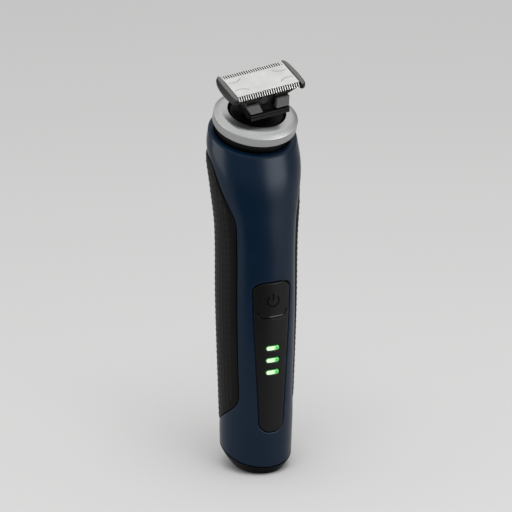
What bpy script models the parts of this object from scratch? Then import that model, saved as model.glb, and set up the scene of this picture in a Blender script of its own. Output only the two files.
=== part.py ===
"""Cordless body groomer: a tubular handle with a plug-on blade that tilts in two directions.

The handle stands on its foot with +Z up and its front, with the button and the lights, towards -Y.
The origin is the middle of the handle's axis at the resting face.
"""
from math import asin, ceil, cos, hypot, pi, radians, sin, sqrt, tan

import bmesh
import bpy
from mathutils import Matrix, Vector

MM = 0.001

# Clearances
FIT = 0.3 * MM
TILT_ROOM = 2.9 * MM
EDGE_ROOM = 0.7 * MM

# Handle cross-sections from foot to shoulder: centre height, width, depth and set-back
FOOT_HEIGHT = 7.5 * MM
FOOT_WIDTH = 30.2 * MM
FOOT_DEPTH = 31.2 * MM
FOOT_SETBACK = 0.6 * MM
LOWER_HEIGHT = 37.0 * MM
LOWER_WIDTH = 32.2 * MM
LOWER_DEPTH = 32.2 * MM
LOWER_SETBACK = 0.4 * MM
MIDDLE_HEIGHT = 73.0 * MM
MIDDLE_WIDTH = 34.4 * MM
MIDDLE_DEPTH = 33.2 * MM
MIDDLE_SETBACK = 0.2 * MM
WAIST_HEIGHT = 104.0 * MM
WAIST_WIDTH = 35.0 * MM
WAIST_DEPTH = 33.4 * MM
WAIST_SETBACK = 0.0 * MM
UPPER_HEIGHT = 121.0 * MM
UPPER_WIDTH = 38.0 * MM
UPPER_DEPTH = 34.6 * MM
UPPER_SETBACK = 1.1 * MM
SHOULDER_HEIGHT = 135.0 * MM
SHOULDER_WIDTH = 40.1 * MM
SHOULDER_DEPTH = 36.0 * MM
SHOULDER_SETBACK = 2.5 * MM
RIM_WIDTH = 37.4 * MM
RIM_DEPTH = 32.4 * MM
FOOT_SLOPE = 0.31
WALL = 2.2 * MM

# Neck: its seat, its forward tilt and the ring around it
SEAT_HEIGHT = 155.7 * MM
SEAT_FORWARD = 1.0 * MM
NECK_TILT = radians(23.5)
NECK_OVAL = 0.94
RIM_DROP = 10.8 * MM
SEAT_RADIUS = 13.0 * MM
SEAT_LIP = 0.8 * MM
WELL_DEPTH = 4.0 * MM
WELL_FLOOR = 2.0 * MM
RING_RADIUS = 17.5 * MM
RING_RISE = 3.0 * MM
RING_BAND = 3.6 * MM
RING_WALL = 1.0 * MM
COLLAR_WALL = 3.3 * MM
SPIGOT_DEPTH = 2.2 * MM
SPIGOT_WALL = 1.5 * MM
SPIGOT_ROOM = 1.2 * MM

# Foot
CONTACT_WIDTH = 17.0 * MM
CONTACT_FRONT = 12.4 * MM
CONTACT_BACK = 8.4 * MM
HULL_POWER = 1.6
PLUG_RISE = 4.0 * MM
INLET_WIDTH = 8.4 * MM
INLET_DEPTH = 5.4 * MM
INLET_BACK = 4.0 * MM
INLET_CEILING = 7.5 * MM
SOCKET_TOP = 15.0 * MM
PIN_SPACING = 3.8 * MM
PIN_RADIUS = 0.6 * MM
PIN_REACH = 2.7 * MM
PIN_TAIL = 1.5 * MM
SCREW_SPACING = 12.0 * MM
SCREW_FORWARD = 4.5 * MM
SCREW_RADIUS = 1.0 * MM
SCREW_HEAD_RADIUS = 1.8 * MM
SCREW_HEAD_HEIGHT = 1.4 * MM
SCREW_SINK = 0.9 * MM

# Front panel, button and lights
PANEL_TOP = 86.3 * MM
PANEL_BOTTOM = 19.7 * MM
PANEL_TOP_WIDTH = 17.6 * MM
PANEL_BOTTOM_WIDTH = 10.6 * MM
PANEL_TOP_RADIUS = 2.6 * MM
PANEL_BOTTOM_RADIUS = 4.5 * MM
PANEL_THICKNESS = 1.2 * MM
BUTTON_MARGIN = 0.9 * MM
BUTTON_BOTTOM = 71.2 * MM
BUTTON_TOP_WIDTH = 15.4 * MM
BUTTON_BOTTOM_WIDTH = 13.8 * MM
BUTTON_CORNER = 2.2 * MM
BUTTON_PROUD = 0.6 * MM
BUTTON_TRAVEL = 0.8 * MM
STEM_RADIUS = 2.4 * MM
LIGHT_COUNT = 3
LIGHT_HEIGHT = 52.0 * MM
LIGHT_PITCH = 5.4 * MM
LIGHT_WIDTH = 6.4 * MM
LIGHT_DEPTH = 2.4 * MM
LIGHT_ROUNDNESS = 0.999

# Rear grip outline, seen from the side
GRIP_FRONT = 10.0 * MM
GRIP_FOOT_FRONT = 9.3 * MM
GRIP_BOTTOM = 31.0 * MM
GRIP_BOTTOM_BACK = 13.0 * MM
GRIP_TURN = 111.5 * MM
GRIP_BEND_BACK = 3.0 * MM
GRIP_BEND_HEIGHT = 133.5 * MM
GRIP_TOP_BACK = 143.0 * MM
GRIP_BOTTOM_RADIUS = 6.0 * MM
GRIP_TURN_RADIUS = 18.0 * MM
GRIP_BEND_RADIUS = 14.0 * MM
GRIP_THICKNESS = 1.3 * MM
GRIP_PROUD = 0.25 * MM

# Chassis, cell and board
CHASSIS_FOOT = 18.0 * MM
SHELF = 2.5 * MM
SPINE = 1.6 * MM
SHELF_REACH = 9.0 * MM
MOTOR_SHELF = 88.0 * MM
CELL_RADIUS = 7.1 * MM
TAB_THICKNESS = 0.4 * MM
TAB_WIDTH = 5.0 * MM
TAB_LENGTH = 9.0 * MM
BOARD_WIDTH = 14.0 * MM
BOARD_THICKNESS = 1.2 * MM
BOARD_BOTTOM = 24.0 * MM
BOARD_TOP = 95.0 * MM
SWITCH_SIDE = 6.0 * MM
SWITCH_HEIGHT = 1.6 * MM
PLUNGER_RADIUS = 1.5 * MM
CHIP_SIDE = 1.6 * MM
CHIP_HEIGHT = 0.8 * MM

# Motor and drive
LEVER_DROP = 12.0 * MM
FORK_DROP = 11.0 * MM
FACE_DROP = 17.6 * MM
MOTOR_RADIUS = 8.0 * MM
SHAFT_RADIUS = 1.0 * MM
SHAFT_GRIP = 6.0 * MM
CAM_RADIUS = 2.6 * MM
CAM_HEIGHT = 2.7 * MM
CAM_FLOOR = 0.9 * MM
CRANK_RADIUS = 0.9 * MM
CRANK_HEIGHT = 4.0 * MM
CRANK_THROW = 0.65 * MM
STROKE = 1.0 * MM
LEVER_THICKNESS = 4.0 * MM
LEVER_HUB = 3.4 * MM
LEVER_FACET = 0.6
PRONG = 1.2 * MM
PIVOT_RADIUS = 1.0 * MM
EAR_THICKNESS = 1.4 * MM
EAR_RISE = 2.0 * MM
BRACKET_BASE = 1.2 * MM
BRACKET_WIDTH = 10.0 * MM
DRIVE_PIN_RADIUS = 0.7 * MM
DRIVE_BALL_RADIUS = 1.0 * MM
SEAL_OUTER = 4.1 * MM
SEAL_BORE = 1.5 * MM

# Blade: pivot above the seat, tilt away from the neck's axis as photographed, and the plate
PIVOT_HEIGHT = 8.5 * MM
HEAD_PITCH = radians(-6.5)
HEAD_ROLL = radians(-8.5)
PLATE_RISE = 6.4 * MM
PLATE_LENGTH = 27.5 * MM
PLATE_FLAT = 15.4 * MM
PLATE_THICKNESS = 0.4 * MM
TOOTH_COUNT = 27
TOOTH_GAP = 0.5 * MM
TOOTH_ROOT = 0.8 * MM
TOOTH_LENGTH = 1.9 * MM
TOOTH_BEND = radians(52.0)
CUTTER_THICKNESS = 0.5 * MM
CUTTER_LENGTH = 23.2 * MM
CUTTER_SETBACK = 0.5 * MM
BRIDGE_LENGTH = 9.0 * MM
BRIDGE_WIDTH = 4.6 * MM
BRIDGE_HEIGHT = 1.9 * MM
BRIDGE_PRONG = 1.15 * MM
GUARD_THICKNESS = 3.2 * MM
GUARD_SPAN = 18.4 * MM
GUARD_HEIGHT = 4.4 * MM
GUARD_PROUD = 0.3 * MM
GUARD_TIP = 0.45
GUARD_BOW = 0.9
GUARD_BELLY_TIP = 0.35
GUARD_BEVEL = 0.7
CARRIER_WIDTH = 18.4 * MM
CARRIER_DEPTH = 13.2 * MM
CARRIER_BEAM = 1.8 * MM
CARRIER_POST = 0.8 * MM
CARRIER_WALL = 1.5 * MM
CARRIER_SIDE = 1.9 * MM
LEDGE_WIDTH = 16.8 * MM
LEDGE_REACH = 2.9 * MM
LEDGE_DROP = 3.4 * MM
LEDGE_THICKNESS = 1.6 * MM
GIMBAL_BAR = 1.2 * MM
GIMBAL_HALF_HEIGHT = 1.4 * MM
POST_SPACING = 8.4 * MM
POST_THICKNESS = 1.4 * MM
POST_WIDTH = 3.2 * MM
POST_CROWN = 1.3 * MM
TRUNNION_RADIUS = 0.7 * MM
COUPLER_BORE = 3.6 * MM
PAD_WIDTH = 5.6 * MM
PAD_GAP = 7.6 * MM
PAD_HEIGHT = 3.4 * MM
PAD_DROP = 2.6 * MM
PAD_TOP_DEPTH = 0.8 * MM
PAD_BOTTOM_DEPTH = 2.6 * MM
PAD_TAPER = 1.0 * MM

# Fineness of round shapes, and how close points are merged
SKIN_SIDES = 32
ROW_STEP = 12.0 * MM
ROW_COUNT_LEAST = 3
TURN_STEPS = 32
ROD_SIDES = 12
CAN_SIDES = 24
ARC_STEPS = 4
SHELL_INNER_STEP = 2
FRONT_STEPS = 8
SHARP_ANGLE = radians(35)
MERGE_DISTANCE = 0.00001

# Colours are linear; then roughness and metallic value
FINISHES = {
    "navy_plastic": ((0.012, 0.024, 0.042), 0.42, 0.0),
    "soft_grip": ((0.012, 0.012, 0.012), 0.75, 0.0),
    "black_gloss": ((0.008, 0.008, 0.009), 0.25, 0.0),
    "black_satin": ((0.010, 0.010, 0.011), 0.50, 0.0),
    "green_light": ((0.60, 0.90, 0.50), 0.30, 0.0),
    "brushed_aluminium": ((0.55, 0.55, 0.54), 0.35, 1.0),
    "blade_steel": ((0.75, 0.75, 0.73), 0.30, 1.0),
    "dark_steel": ((0.35, 0.35, 0.36), 0.35, 1.0),
    "grey_plastic": ((0.14, 0.14, 0.13), 0.50, 0.0),
    "chassis_plastic": ((0.06, 0.06, 0.065), 0.60, 0.0),
    "cell_sleeve": ((0.10, 0.22, 0.42), 0.40, 0.0),
    "nickel": ((0.60, 0.58, 0.53), 0.30, 1.0),
    "board_green": ((0.01, 0.12, 0.05), 0.45, 0.0),
    "seal_rubber": ((0.02, 0.02, 0.02), 0.80, 0.0),
}

# Planes in which flat outlines are drawn: (u, v, thickness) to (x, y, z)
PLANE_YZ = Matrix(((0, 0, 1), (1, 0, 0), (0, 1, 0))).to_4x4()
PLANE_XZ = Matrix(((1, 0, 0), (0, 0, -1), (0, 1, 0))).to_4x4()


def clear_scene():
    for item in list(bpy.data.objects):
        bpy.data.objects.remove(item, do_unlink=True)


def new_collection(name):
    collection = bpy.data.collections.new(name)
    bpy.context.scene.collection.children.link(collection)
    return collection


def make_material(name):
    colour, roughness, metallic = FINISHES[name]
    material = bpy.data.materials.new(name)
    material.use_nodes = True
    shader = material.node_tree.nodes["Principled BSDF"]
    shader.inputs["Base Color"].default_value = (*colour, 1.0)
    shader.inputs["Roughness"].default_value = roughness
    shader.inputs["Metallic"].default_value = metallic
    material.diffuse_color = (*colour, 1.0)
    return material


clear_scene()
PARTS = new_collection("body_groomer")
CUTTERS = new_collection("cutters")


def frame_empty(name, location, rotation=(0.0, 0.0, 0.0), parent=None):
    """An empty on a joint's axis that carries the pieces of one body."""
    empty = bpy.data.objects.new(name, None)
    empty.location = location
    empty.rotation_euler = rotation
    empty.parent = parent
    PARTS.objects.link(empty)
    return empty


def part(name, mesh, finish, parent=None):
    """Show a mesh as one named piece of the groomer, with its own material."""
    item = bpy.data.objects.new(name, mesh)
    PARTS.objects.link(item)
    item.parent = parent
    mesh.shade_smooth()
    mesh.set_sharp_from_angle(angle=SHARP_ANGLE)
    material = make_material(finish)
    material.name = name + "_" + finish
    mesh.materials.append(material)
    return item


def cutter(name, mesh, parent=None):
    """Keep a mesh as a hidden tool for Boolean cuts."""
    item = bpy.data.objects.new(name, mesh)
    CUTTERS.objects.link(item)
    item.parent = parent
    item.hide_render = True
    item.display_type = "WIRE"
    return item


def boolean(target, tool, operation="DIFFERENCE"):
    modifier = target.modifiers.new(tool.name, "BOOLEAN")
    modifier.operation = operation
    modifier.solver = "EXACT"
    modifier.object = tool


def thicken(target, thickness):
    """Give an open surface a thickness on its inner side."""
    modifier = target.modifiers.new("thickness", "SOLIDIFY")
    modifier.thickness = thickness
    modifier.offset = -1.0
    modifier.use_even_offset = True


def mesh_of(name, bm):
    mesh = bpy.data.meshes.new(name)
    bm.to_mesh(mesh)
    bm.free()
    return mesh


def boxes(name, *corner_pairs):
    """One mesh of boxes, each given by its low and high corner."""
    bm = bmesh.new()
    for low, high in corner_pairs:
        low, high = Vector(low), Vector(high)
        shape = Matrix.Translation((low + high) / 2) @ Matrix.Diagonal((*(high - low), 1.0))
        bmesh.ops.create_cube(bm, size=1.0, matrix=shape)
    return mesh_of(name, bm)


def rods(name, *ends_and_radius, sides=ROD_SIDES):
    """One mesh of cylinders, each given by its two end points and its radius."""
    bm = bmesh.new()
    for start, end, radius in ends_and_radius:
        start, end = Vector(start), Vector(end)
        turn = (end - start).to_track_quat("Z", "Y").to_matrix().to_4x4()
        shape = Matrix.Translation((start + end) / 2) @ turn
        bmesh.ops.create_cone(bm, cap_ends=True, segments=sides, radius1=radius, radius2=radius,
                              depth=(end - start).length, matrix=shape)
    return mesh_of(name, bm)


def turned(name, profile, finish, parent):
    """A turned piece from a closed profile of (radius, height), outer side first, made oval."""
    bm = bmesh.new()
    points = [bm.verts.new((radius, 0.0, height)) for radius, height in profile]
    for first, second in zip(points, points[1:] + points[:1]):
        bm.edges.new((first, second))
    item = part(name, mesh_of(name, bm), finish, parent)
    item.scale = (1.0, NECK_OVAL, 1.0)
    screw = item.modifiers.new("turn", "SCREW")
    screw.steps = TURN_STEPS
    screw.render_steps = TURN_STEPS
    screw.use_merge_vertices = True
    screw.merge_threshold = MERGE_DISTANCE
    return item


def rounded(corners):
    """Points of a closed outline whose corners (u, v, radius) are rounded by arcs."""
    points = []
    count = len(corners)
    for index, (u, v, radius) in enumerate(corners):
        here = Vector((u, v))
        back = (Vector(corners[index - 1][:2]) - here).normalized()
        ahead = (Vector(corners[(index + 1) % count][:2]) - here).normalized()
        half = back.angle(ahead) / 2
        if radius <= 0.0:
            points.append(here)
            continue
        middle = here + (back + ahead).normalized() * (radius / sin(half))
        start = here + back * (radius / tan(half)) - middle
        sweep = pi - 2 * half
        turn = 1.0 if back.x * ahead.y - back.y * ahead.x < 0.0 else -1.0
        for step in range(ARC_STEPS + 1):
            angle = turn * sweep * step / ARC_STEPS
            across = start.x * cos(angle) - start.y * sin(angle)
            up = start.x * sin(angle) + start.y * cos(angle)
            points.append(middle + Vector((across, up)))
    return points


def grown(corners, margin):
    """The same outline, drawn anticlockwise, with every side moved outwards by a margin."""
    result = []
    count = len(corners)
    for index, (u, v, radius) in enumerate(corners):
        here = Vector((u, v))
        before = (here - Vector(corners[index - 1][:2])).normalized()
        after = (Vector(corners[(index + 1) % count][:2]) - here).normalized()
        turn = before.x * after.y - before.y * after.x
        normals = Vector((before.y, -before.x)), Vector((after.y, -after.x))
        shift = (normals[0] + normals[1]) * (margin / (1.0 + normals[0].dot(normals[1])))
        grown_radius = radius + margin if turn > 0.0 else radius - margin
        result.append((u + shift.x, v + shift.y, max(grown_radius, 0.0)))
    return result


def slab(name, points, low, high, plane):
    """A flat outline with thickness: drawn as a filled 2D curve, then made a mesh in its plane."""
    curve = bpy.data.curves.new(name, "CURVE")
    curve.dimensions = "2D"
    curve.fill_mode = "BOTH"
    curve.extrude = (high - low) / 2
    spline = curve.splines.new("POLY")
    spline.points.add(len(points) - 1)
    for spot, (u, v) in zip(spline.points, points):
        spot.co = (u, v, 0.0, 1.0)
    spline.use_cyclic_u = True
    drawing = bpy.data.objects.new(name, curve)
    CUTTERS.objects.link(drawing)
    bpy.context.view_layer.update()
    depsgraph = bpy.context.evaluated_depsgraph_get()
    mesh = bpy.data.meshes.new_from_object(drawing.evaluated_get(depsgraph))
    bpy.data.objects.remove(drawing)
    bm = bmesh.new()
    bm.from_mesh(mesh)
    bmesh.ops.remove_doubles(bm, verts=bm.verts, dist=MERGE_DISTANCE)
    bmesh.ops.recalc_face_normals(bm, faces=bm.faces)
    bm.transform(plane @ Matrix.Translation((0.0, 0.0, (low + high) / 2)))
    bm.to_mesh(mesh)
    bm.free()
    return mesh


# Neck axis and the points on it
NECK_AXIS = Vector((0.0, -sin(NECK_TILT), cos(NECK_TILT)))
SEAT = Vector((0.0, -SEAT_FORWARD, SEAT_HEIGHT))
RIM = SEAT - NECK_AXIS * RIM_DROP
LEVER_PIVOT = SEAT - NECK_AXIS * LEVER_DROP
HEAD_PIVOT = SEAT + NECK_AXIS * PIVOT_HEIGHT

STATIONS = (
    (FOOT_HEIGHT, FOOT_WIDTH / 2, FOOT_DEPTH / 2, FOOT_SETBACK),
    (LOWER_HEIGHT, LOWER_WIDTH / 2, LOWER_DEPTH / 2, LOWER_SETBACK),
    (MIDDLE_HEIGHT, MIDDLE_WIDTH / 2, MIDDLE_DEPTH / 2, MIDDLE_SETBACK),
    (WAIST_HEIGHT, WAIST_WIDTH / 2, WAIST_DEPTH / 2, WAIST_SETBACK),
    (UPPER_HEIGHT, UPPER_WIDTH / 2, UPPER_DEPTH / 2, UPPER_SETBACK),
    (SHOULDER_HEIGHT, SHOULDER_WIDTH / 2, SHOULDER_DEPTH / 2, SHOULDER_SETBACK),
    (RIM.z, RIM_WIDTH / 2, RIM_DEPTH / 2, RIM.y),
)


def row_heights():
    """Centre heights of the rows of the handle's skin."""
    heights = []
    for (low, *_), (high, *_) in zip(STATIONS, STATIONS[1:]):
        count = max(ceil((high - low) / ROW_STEP), ROW_COUNT_LEAST)
        heights += [low + (high - low) * step / count for step in range(count)]
    return heights + [STATIONS[-1][0]]


def station_slope(index, column):
    low = STATIONS[max(index - 1, 0)]
    high = STATIONS[min(index + 1, len(STATIONS) - 1)]
    return (high[column] - low[column]) / (high[0] - low[0])


def section(height):
    """Half width, half depth and set-back of the handle at a centre height, by a smooth cubic."""
    index = 0
    while index < len(STATIONS) - 2 and height > STATIONS[index + 1][0]:
        index += 1
    low, high = STATIONS[index], STATIONS[index + 1]
    span = high[0] - low[0]
    t = (height - low[0]) / span
    values = []
    for column in (1, 2, 3):
        value = low[column] * (2 * t**3 - 3 * t**2 + 1) + high[column] * (3 * t**2 - 2 * t**3)
        value += station_slope(index, column) * span * (t**3 - 2 * t**2 + t)
        value += station_slope(index + 1, column) * span * (t**3 - t**2)
        values.append(value)
    return values


def skin_point(height, angle, inset=0.0):
    """A point on the handle's skin: angle 0 faces the front, and rows rise towards the back."""
    half_width, half_depth, setback = section(height)
    share = (height - FOOT_HEIGHT) / (RIM.z - FOOT_HEIGHT)
    slope = FOOT_SLOPE + (tan(NECK_TILT) - FOOT_SLOPE) * share
    reach = -(half_depth - inset) * cos(angle)
    return Vector(((half_width - inset) * sin(angle), setback + reach, height + slope * reach))


def front_face(height, inset=0.0):
    """Y of the handle's front at a true height, allowing for the slope of its rows."""
    row = height
    for _ in range(FRONT_STEPS):
        row += height - skin_point(row, 0.0, inset).z
    return skin_point(row, 0.0, inset).y


def ring_points(height, inset=0.0):
    return [skin_point(height, 2 * pi * side / SKIN_SIDES, inset) for side in range(SKIN_SIDES)]


def loft(name, rings, capped):
    """A skin through rings of equal point counts: capped at both ends, or closed from last to first."""
    bm = bmesh.new()
    rows = [[bm.verts.new(point) for point in ring] for ring in rings]
    following_rows = rows[1:] if capped else rows[1:] + rows[:1]
    for lower, upper in zip(rows, following_rows):
        for side in range(len(lower)):
            following = (side + 1) % len(lower)
            bm.faces.new((lower[side], lower[following], upper[following], upper[side]))
    if capped:
        bm.faces.new(list(reversed(rows[0])))
        bm.faces.new(rows[-1])
    return mesh_of(name, bm)


def skin_layer(name, inset, thickness, low, high, inner_step=1):
    """A tube that follows the handle's skin, over the rows that span two true heights."""
    heights = row_heights()
    kept = [row for row in heights if skin_point(row, pi).z > low and skin_point(row, 0.0).z < high]
    first = max(heights.index(kept[0]) - 1, 0)
    last = min(heights.index(kept[-1]) + 1, len(heights) - 1)
    outside = [ring_points(row, inset) for row in heights[first:last + 1]]
    inner_rows = heights[first:last:inner_step] + [heights[last]]
    inside = [ring_points(row, inset + thickness) for row in inner_rows]
    return loft(name, outside + inside[::-1], capped=False)


def skin_patch(make, name, outline, inset, thickness, low, high):
    """A curved plate: the part of a layer of the handle's skin that lies inside an outline's slab."""
    patch = make(name, skin_layer(name, inset, thickness, low, high))
    boolean(patch, outline, "INTERSECT")
    return patch


def finished(finish, parent=None):
    """A maker of shown pieces with one finish, for skin_patch."""
    return lambda name, mesh: part(name, mesh, finish, parent)


# Outlines on the front, as seen from the front
def panel_corners():
    return [
        (-PANEL_BOTTOM_WIDTH / 2, PANEL_BOTTOM, PANEL_BOTTOM_RADIUS),
        (PANEL_BOTTOM_WIDTH / 2, PANEL_BOTTOM, PANEL_BOTTOM_RADIUS),
        (PANEL_TOP_WIDTH / 2, PANEL_TOP, PANEL_TOP_RADIUS),
        (-PANEL_TOP_WIDTH / 2, PANEL_TOP, PANEL_TOP_RADIUS),
    ]


def button_corners():
    top = PANEL_TOP - BUTTON_MARGIN
    return [
        (-BUTTON_BOTTOM_WIDTH / 2, BUTTON_BOTTOM, BUTTON_CORNER),
        (BUTTON_BOTTOM_WIDTH / 2, BUTTON_BOTTOM, BUTTON_CORNER),
        (BUTTON_TOP_WIDTH / 2, top, BUTTON_CORNER),
        (-BUTTON_TOP_WIDTH / 2, top, BUTTON_CORNER),
    ]


def light_corners(number, margin=0.0):
    middle = LIGHT_HEIGHT + LIGHT_PITCH * (number - (LIGHT_COUNT - 1) / 2)
    half_width, half_height = LIGHT_WIDTH / 2 + margin, LIGHT_DEPTH / 2 + margin
    end = half_height * LIGHT_ROUNDNESS
    return [
        (-half_width, middle - half_height, end),
        (half_width, middle - half_height, end),
        (half_width, middle + half_height, end),
        (-half_width, middle + half_height, end),
    ]


def grip_corners():
    """Side view of the grip, anticlockwise from its lower front corner."""
    behind = SHOULDER_DEPTH
    low_fall = (GRIP_BOTTOM - GRIP_BOTTOM_BACK) / (SHOULDER_DEPTH / 2 + GRIP_FOOT_FRONT)
    return [
        (-GRIP_FOOT_FRONT, GRIP_BOTTOM, GRIP_BOTTOM_RADIUS),
        (behind, GRIP_BOTTOM - low_fall * (behind + GRIP_FOOT_FRONT), 0.0),
        (behind, GRIP_TOP_BACK, 0.0),
        (GRIP_BEND_BACK, GRIP_BEND_HEIGHT, GRIP_BEND_RADIUS),
        (-GRIP_FRONT, GRIP_TURN, GRIP_TURN_RADIUS),
    ]


def front_slab(name, corners):
    """A cutter through the front of the handle, from outside it to its axis."""
    return cutter(name, slab(name, rounded(corners), 0.0, SHOULDER_DEPTH, PLANE_XZ))


def side_slab(name, corners):
    """A cutter through the whole width of the handle."""
    return cutter(name, slab(name, rounded(corners), -SHOULDER_WIDTH, SHOULDER_WIDTH, PLANE_YZ))


def layer_cut(name, outline, depth, low, high):
    """A cutter for a recess of even depth in the handle's skin."""
    outside = 2 * WALL
    return skin_patch(cutter, name, outline, -outside, outside + depth, low, high)


# Board position, worked out first because the front pieces reach back to it
def chord_front(height, half_width):
    """Y where the inside of the handle's front is as wide as a flat piece, at a true height."""
    row_width, row_depth, setback = section(height)
    across = half_width / (row_width - WALL)
    return setback - (row_depth - WALL) * sqrt(1.0 - across**2)


BOARD_FRONT = chord_front(BOARD_BOTTOM, BOARD_WIDTH / 2) + EDGE_ROOM
SPINE_FRONT = BOARD_FRONT + BOARD_THICKNESS + FIT
SPINE_BACK = SPINE_FRONT + SPINE
SWITCH_FRONT = BOARD_FRONT - FIT - SWITCH_HEIGHT
BUTTON_HEIGHT = (PANEL_TOP - BUTTON_MARGIN + BUTTON_BOTTOM) / 2
PLUNGER_FRONT = SWITCH_FRONT - BUTTON_TRAVEL - FIT


def build_shell_group():
    """Shell with its recesses, the grip and panel that fill them, the button and the lights."""
    panel_outline = front_slab("panel_outline", panel_corners())
    panel_room = front_slab("panel_room", grown(panel_corners(), FIT))
    button_outline = front_slab("button_outline", button_corners())
    button_room = front_slab("button_room", grown(button_corners(), FIT))
    grip_outline = side_slab("grip_outline", grip_corners())
    grip_room = side_slab("grip_room", grown(grip_corners(), FIT))

    skin = skin_layer("body_shell", 0.0, WALL, 0.0, SEAT_HEIGHT, SHELL_INNER_STEP)
    shell = part("body_shell", skin, "navy_plastic")
    panel_span = PANEL_BOTTOM - FIT, PANEL_TOP + FIT
    panel_cut = layer_cut("panel_recess", panel_room, PANEL_THICKNESS + FIT, *panel_span)
    grip_span = GRIP_BOTTOM_BACK - FIT, GRIP_TOP_BACK + FIT
    grip_cut = layer_cut("grip_recess", grip_room, GRIP_THICKNESS - GRIP_PROUD + FIT, *grip_span)
    boolean(shell, panel_cut)
    boolean(shell, grip_cut)

    skin_patch(finished("soft_grip"), "rear_grip", grip_outline, -GRIP_PROUD, GRIP_THICKNESS, *grip_span)
    panel = skin_patch(finished("black_gloss"), "front_panel", panel_outline, 0.0, PANEL_THICKNESS,
                       *panel_span)
    boolean(panel, button_room)

    build_button(shell, button_outline)
    build_lights(shell, panel)


def build_button(shell, outline):
    """The key slides straight in, and its stem passes through the shell to the switch's plunger."""
    face_y = front_face(BUTTON_HEIGHT)
    carried = frame_empty("button_frame", (0.0, face_y, BUTTON_HEIGHT))
    button = skin_patch(finished("black_gloss"), "power_button", outline, -BUTTON_PROUD,
                        PANEL_THICKNESS + BUTTON_PROUD - BUTTON_TRAVEL, BUTTON_BOTTOM, PANEL_TOP)
    plunger_back = (0.0, SWITCH_FRONT + FIT, BUTTON_HEIGHT)
    plunger_front = (0.0, PLUNGER_FRONT, BUTTON_HEIGHT)
    plunger = rods("switch_plunger", (plunger_front, plunger_back, PLUNGER_RADIUS))
    for item in (button, part("switch_plunger", plunger, "grey_plastic")):
        item.parent = carried
        item.matrix_parent_inverse = Matrix.Translation(carried.location).inverted()
    stem_root = (0.0, face_y + PANEL_THICKNESS / 4, BUTTON_HEIGHT)
    stem_end = (0.0, PLUNGER_FRONT - FIT, BUTTON_HEIGHT)
    stem = rods("button_stem", (stem_root, stem_end, STEM_RADIUS))
    boolean(button, cutter("button_stem", stem), "UNION")
    outside = (0.0, face_y - WALL, BUTTON_HEIGHT)
    inside = (0.0, SWITCH_FRONT, BUTTON_HEIGHT)
    boolean(shell, cutter("stem_hole", rods("stem_hole", (outside, inside, STEM_RADIUS + FIT))))


def build_lights(shell, panel):
    """Three pill-shaped light guides through the panel and the shell, and the chips behind them."""
    chip_front = BOARD_FRONT - FIT - CHIP_HEIGHT
    for number in range(LIGHT_COUNT):
        label = str(number + 1)
        corners = light_corners(number)
        middle = (corners[0][1] + corners[2][1]) / 2
        outline = front_slab("light_outline_" + label, corners)
        room = front_slab("light_room_" + label, light_corners(number, FIT))
        depth = chip_front - FIT - front_face(middle)
        skin_patch(finished("green_light"), "led_lens_" + label, outline, 0.0, depth,
                   corners[0][1], corners[2][1])
        boolean(shell, room)
        boolean(panel, room)
        low = (-CHIP_SIDE / 2, chip_front, middle - CHIP_SIDE / 2)
        high = (CHIP_SIDE / 2, BOARD_FRONT - FIT, middle + CHIP_SIDE / 2)
        part("led_chip_" + label, boxes("led_chip_" + label, (low, high)), "green_light")


def build_board():
    """Circuit board on the chassis spine, and its switch with a hole for the plunger."""
    low = (-BOARD_WIDTH / 2, BOARD_FRONT, BOARD_BOTTOM)
    high = (BOARD_WIDTH / 2, BOARD_FRONT + BOARD_THICKNESS, BOARD_TOP)
    part("circuit_board", boxes("circuit_board", (low, high)), "board_green")
    low = (-SWITCH_SIDE / 2, SWITCH_FRONT, BUTTON_HEIGHT - SWITCH_SIDE / 2)
    high = (SWITCH_SIDE / 2, BOARD_FRONT - FIT, BUTTON_HEIGHT + SWITCH_SIDE / 2)
    switch = part("tact_switch", boxes("tact_switch", (low, high)), "black_satin")
    mouth = (0.0, SWITCH_FRONT - FIT, BUTTON_HEIGHT)
    floor = (0.0, BOARD_FRONT - 2 * FIT, BUTTON_HEIGHT)
    boolean(switch, cutter("plunger_hole", rods("plunger_hole", (mouth, floor, PLUNGER_RADIUS + FIT))))


def build_neck():
    """Neck socket that plugs into the shell's rim, the ring around it and the seal for the drive pin."""
    neck = frame_empty("neck_frame", SEAT, (NECK_TILT, 0.0, 0.0))
    lip = SEAT_RADIUS - SEAT_LIP
    collar = RING_RADIUS - RING_WALL - FIT
    spigot = (RIM_DEPTH / 2 - WALL) / cos(NECK_TILT) / NECK_OVAL - SPIGOT_ROOM
    shoulder = -RIM_DROP + FIT
    hollow = -WELL_DEPTH - WELL_FLOOR
    bore = SEAL_OUTER + FIT
    under_ring = -FIT - RING_WALL - FIT
    turned("neck_socket", [
        (SEAT_RADIUS, FIT), (SEAT_RADIUS, under_ring), (collar, under_ring - RING_RISE),
        (collar, shoulder), (spigot, shoulder), (spigot, shoulder - SPIGOT_DEPTH),
        (spigot - SPIGOT_WALL, shoulder - SPIGOT_DEPTH), (spigot - SPIGOT_WALL, hollow),
        (bore, hollow), (bore, -WELL_DEPTH), (lip, -WELL_DEPTH), (lip, FIT),
    ], "black_satin", neck)
    inner = SEAT_RADIUS + FIT
    turned("trim_ring", [
        (inner, 0.0), (RING_RADIUS, -RING_RISE), (RING_RADIUS, -RING_RISE - RING_BAND),
        (RING_RADIUS - RING_WALL, -RING_RISE - RING_BAND),
        (RING_RADIUS - RING_WALL, -RING_RISE - RING_WALL), (inner, -RING_WALL),
    ], "brushed_aluminium", neck)
    turned("drive_seal", [
        (SEAL_OUTER, -WELL_DEPTH), (SEAL_OUTER, hollow), (SEAL_BORE, hollow), (SEAL_BORE, -WELL_DEPTH),
    ], "seal_rubber", neck)


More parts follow.
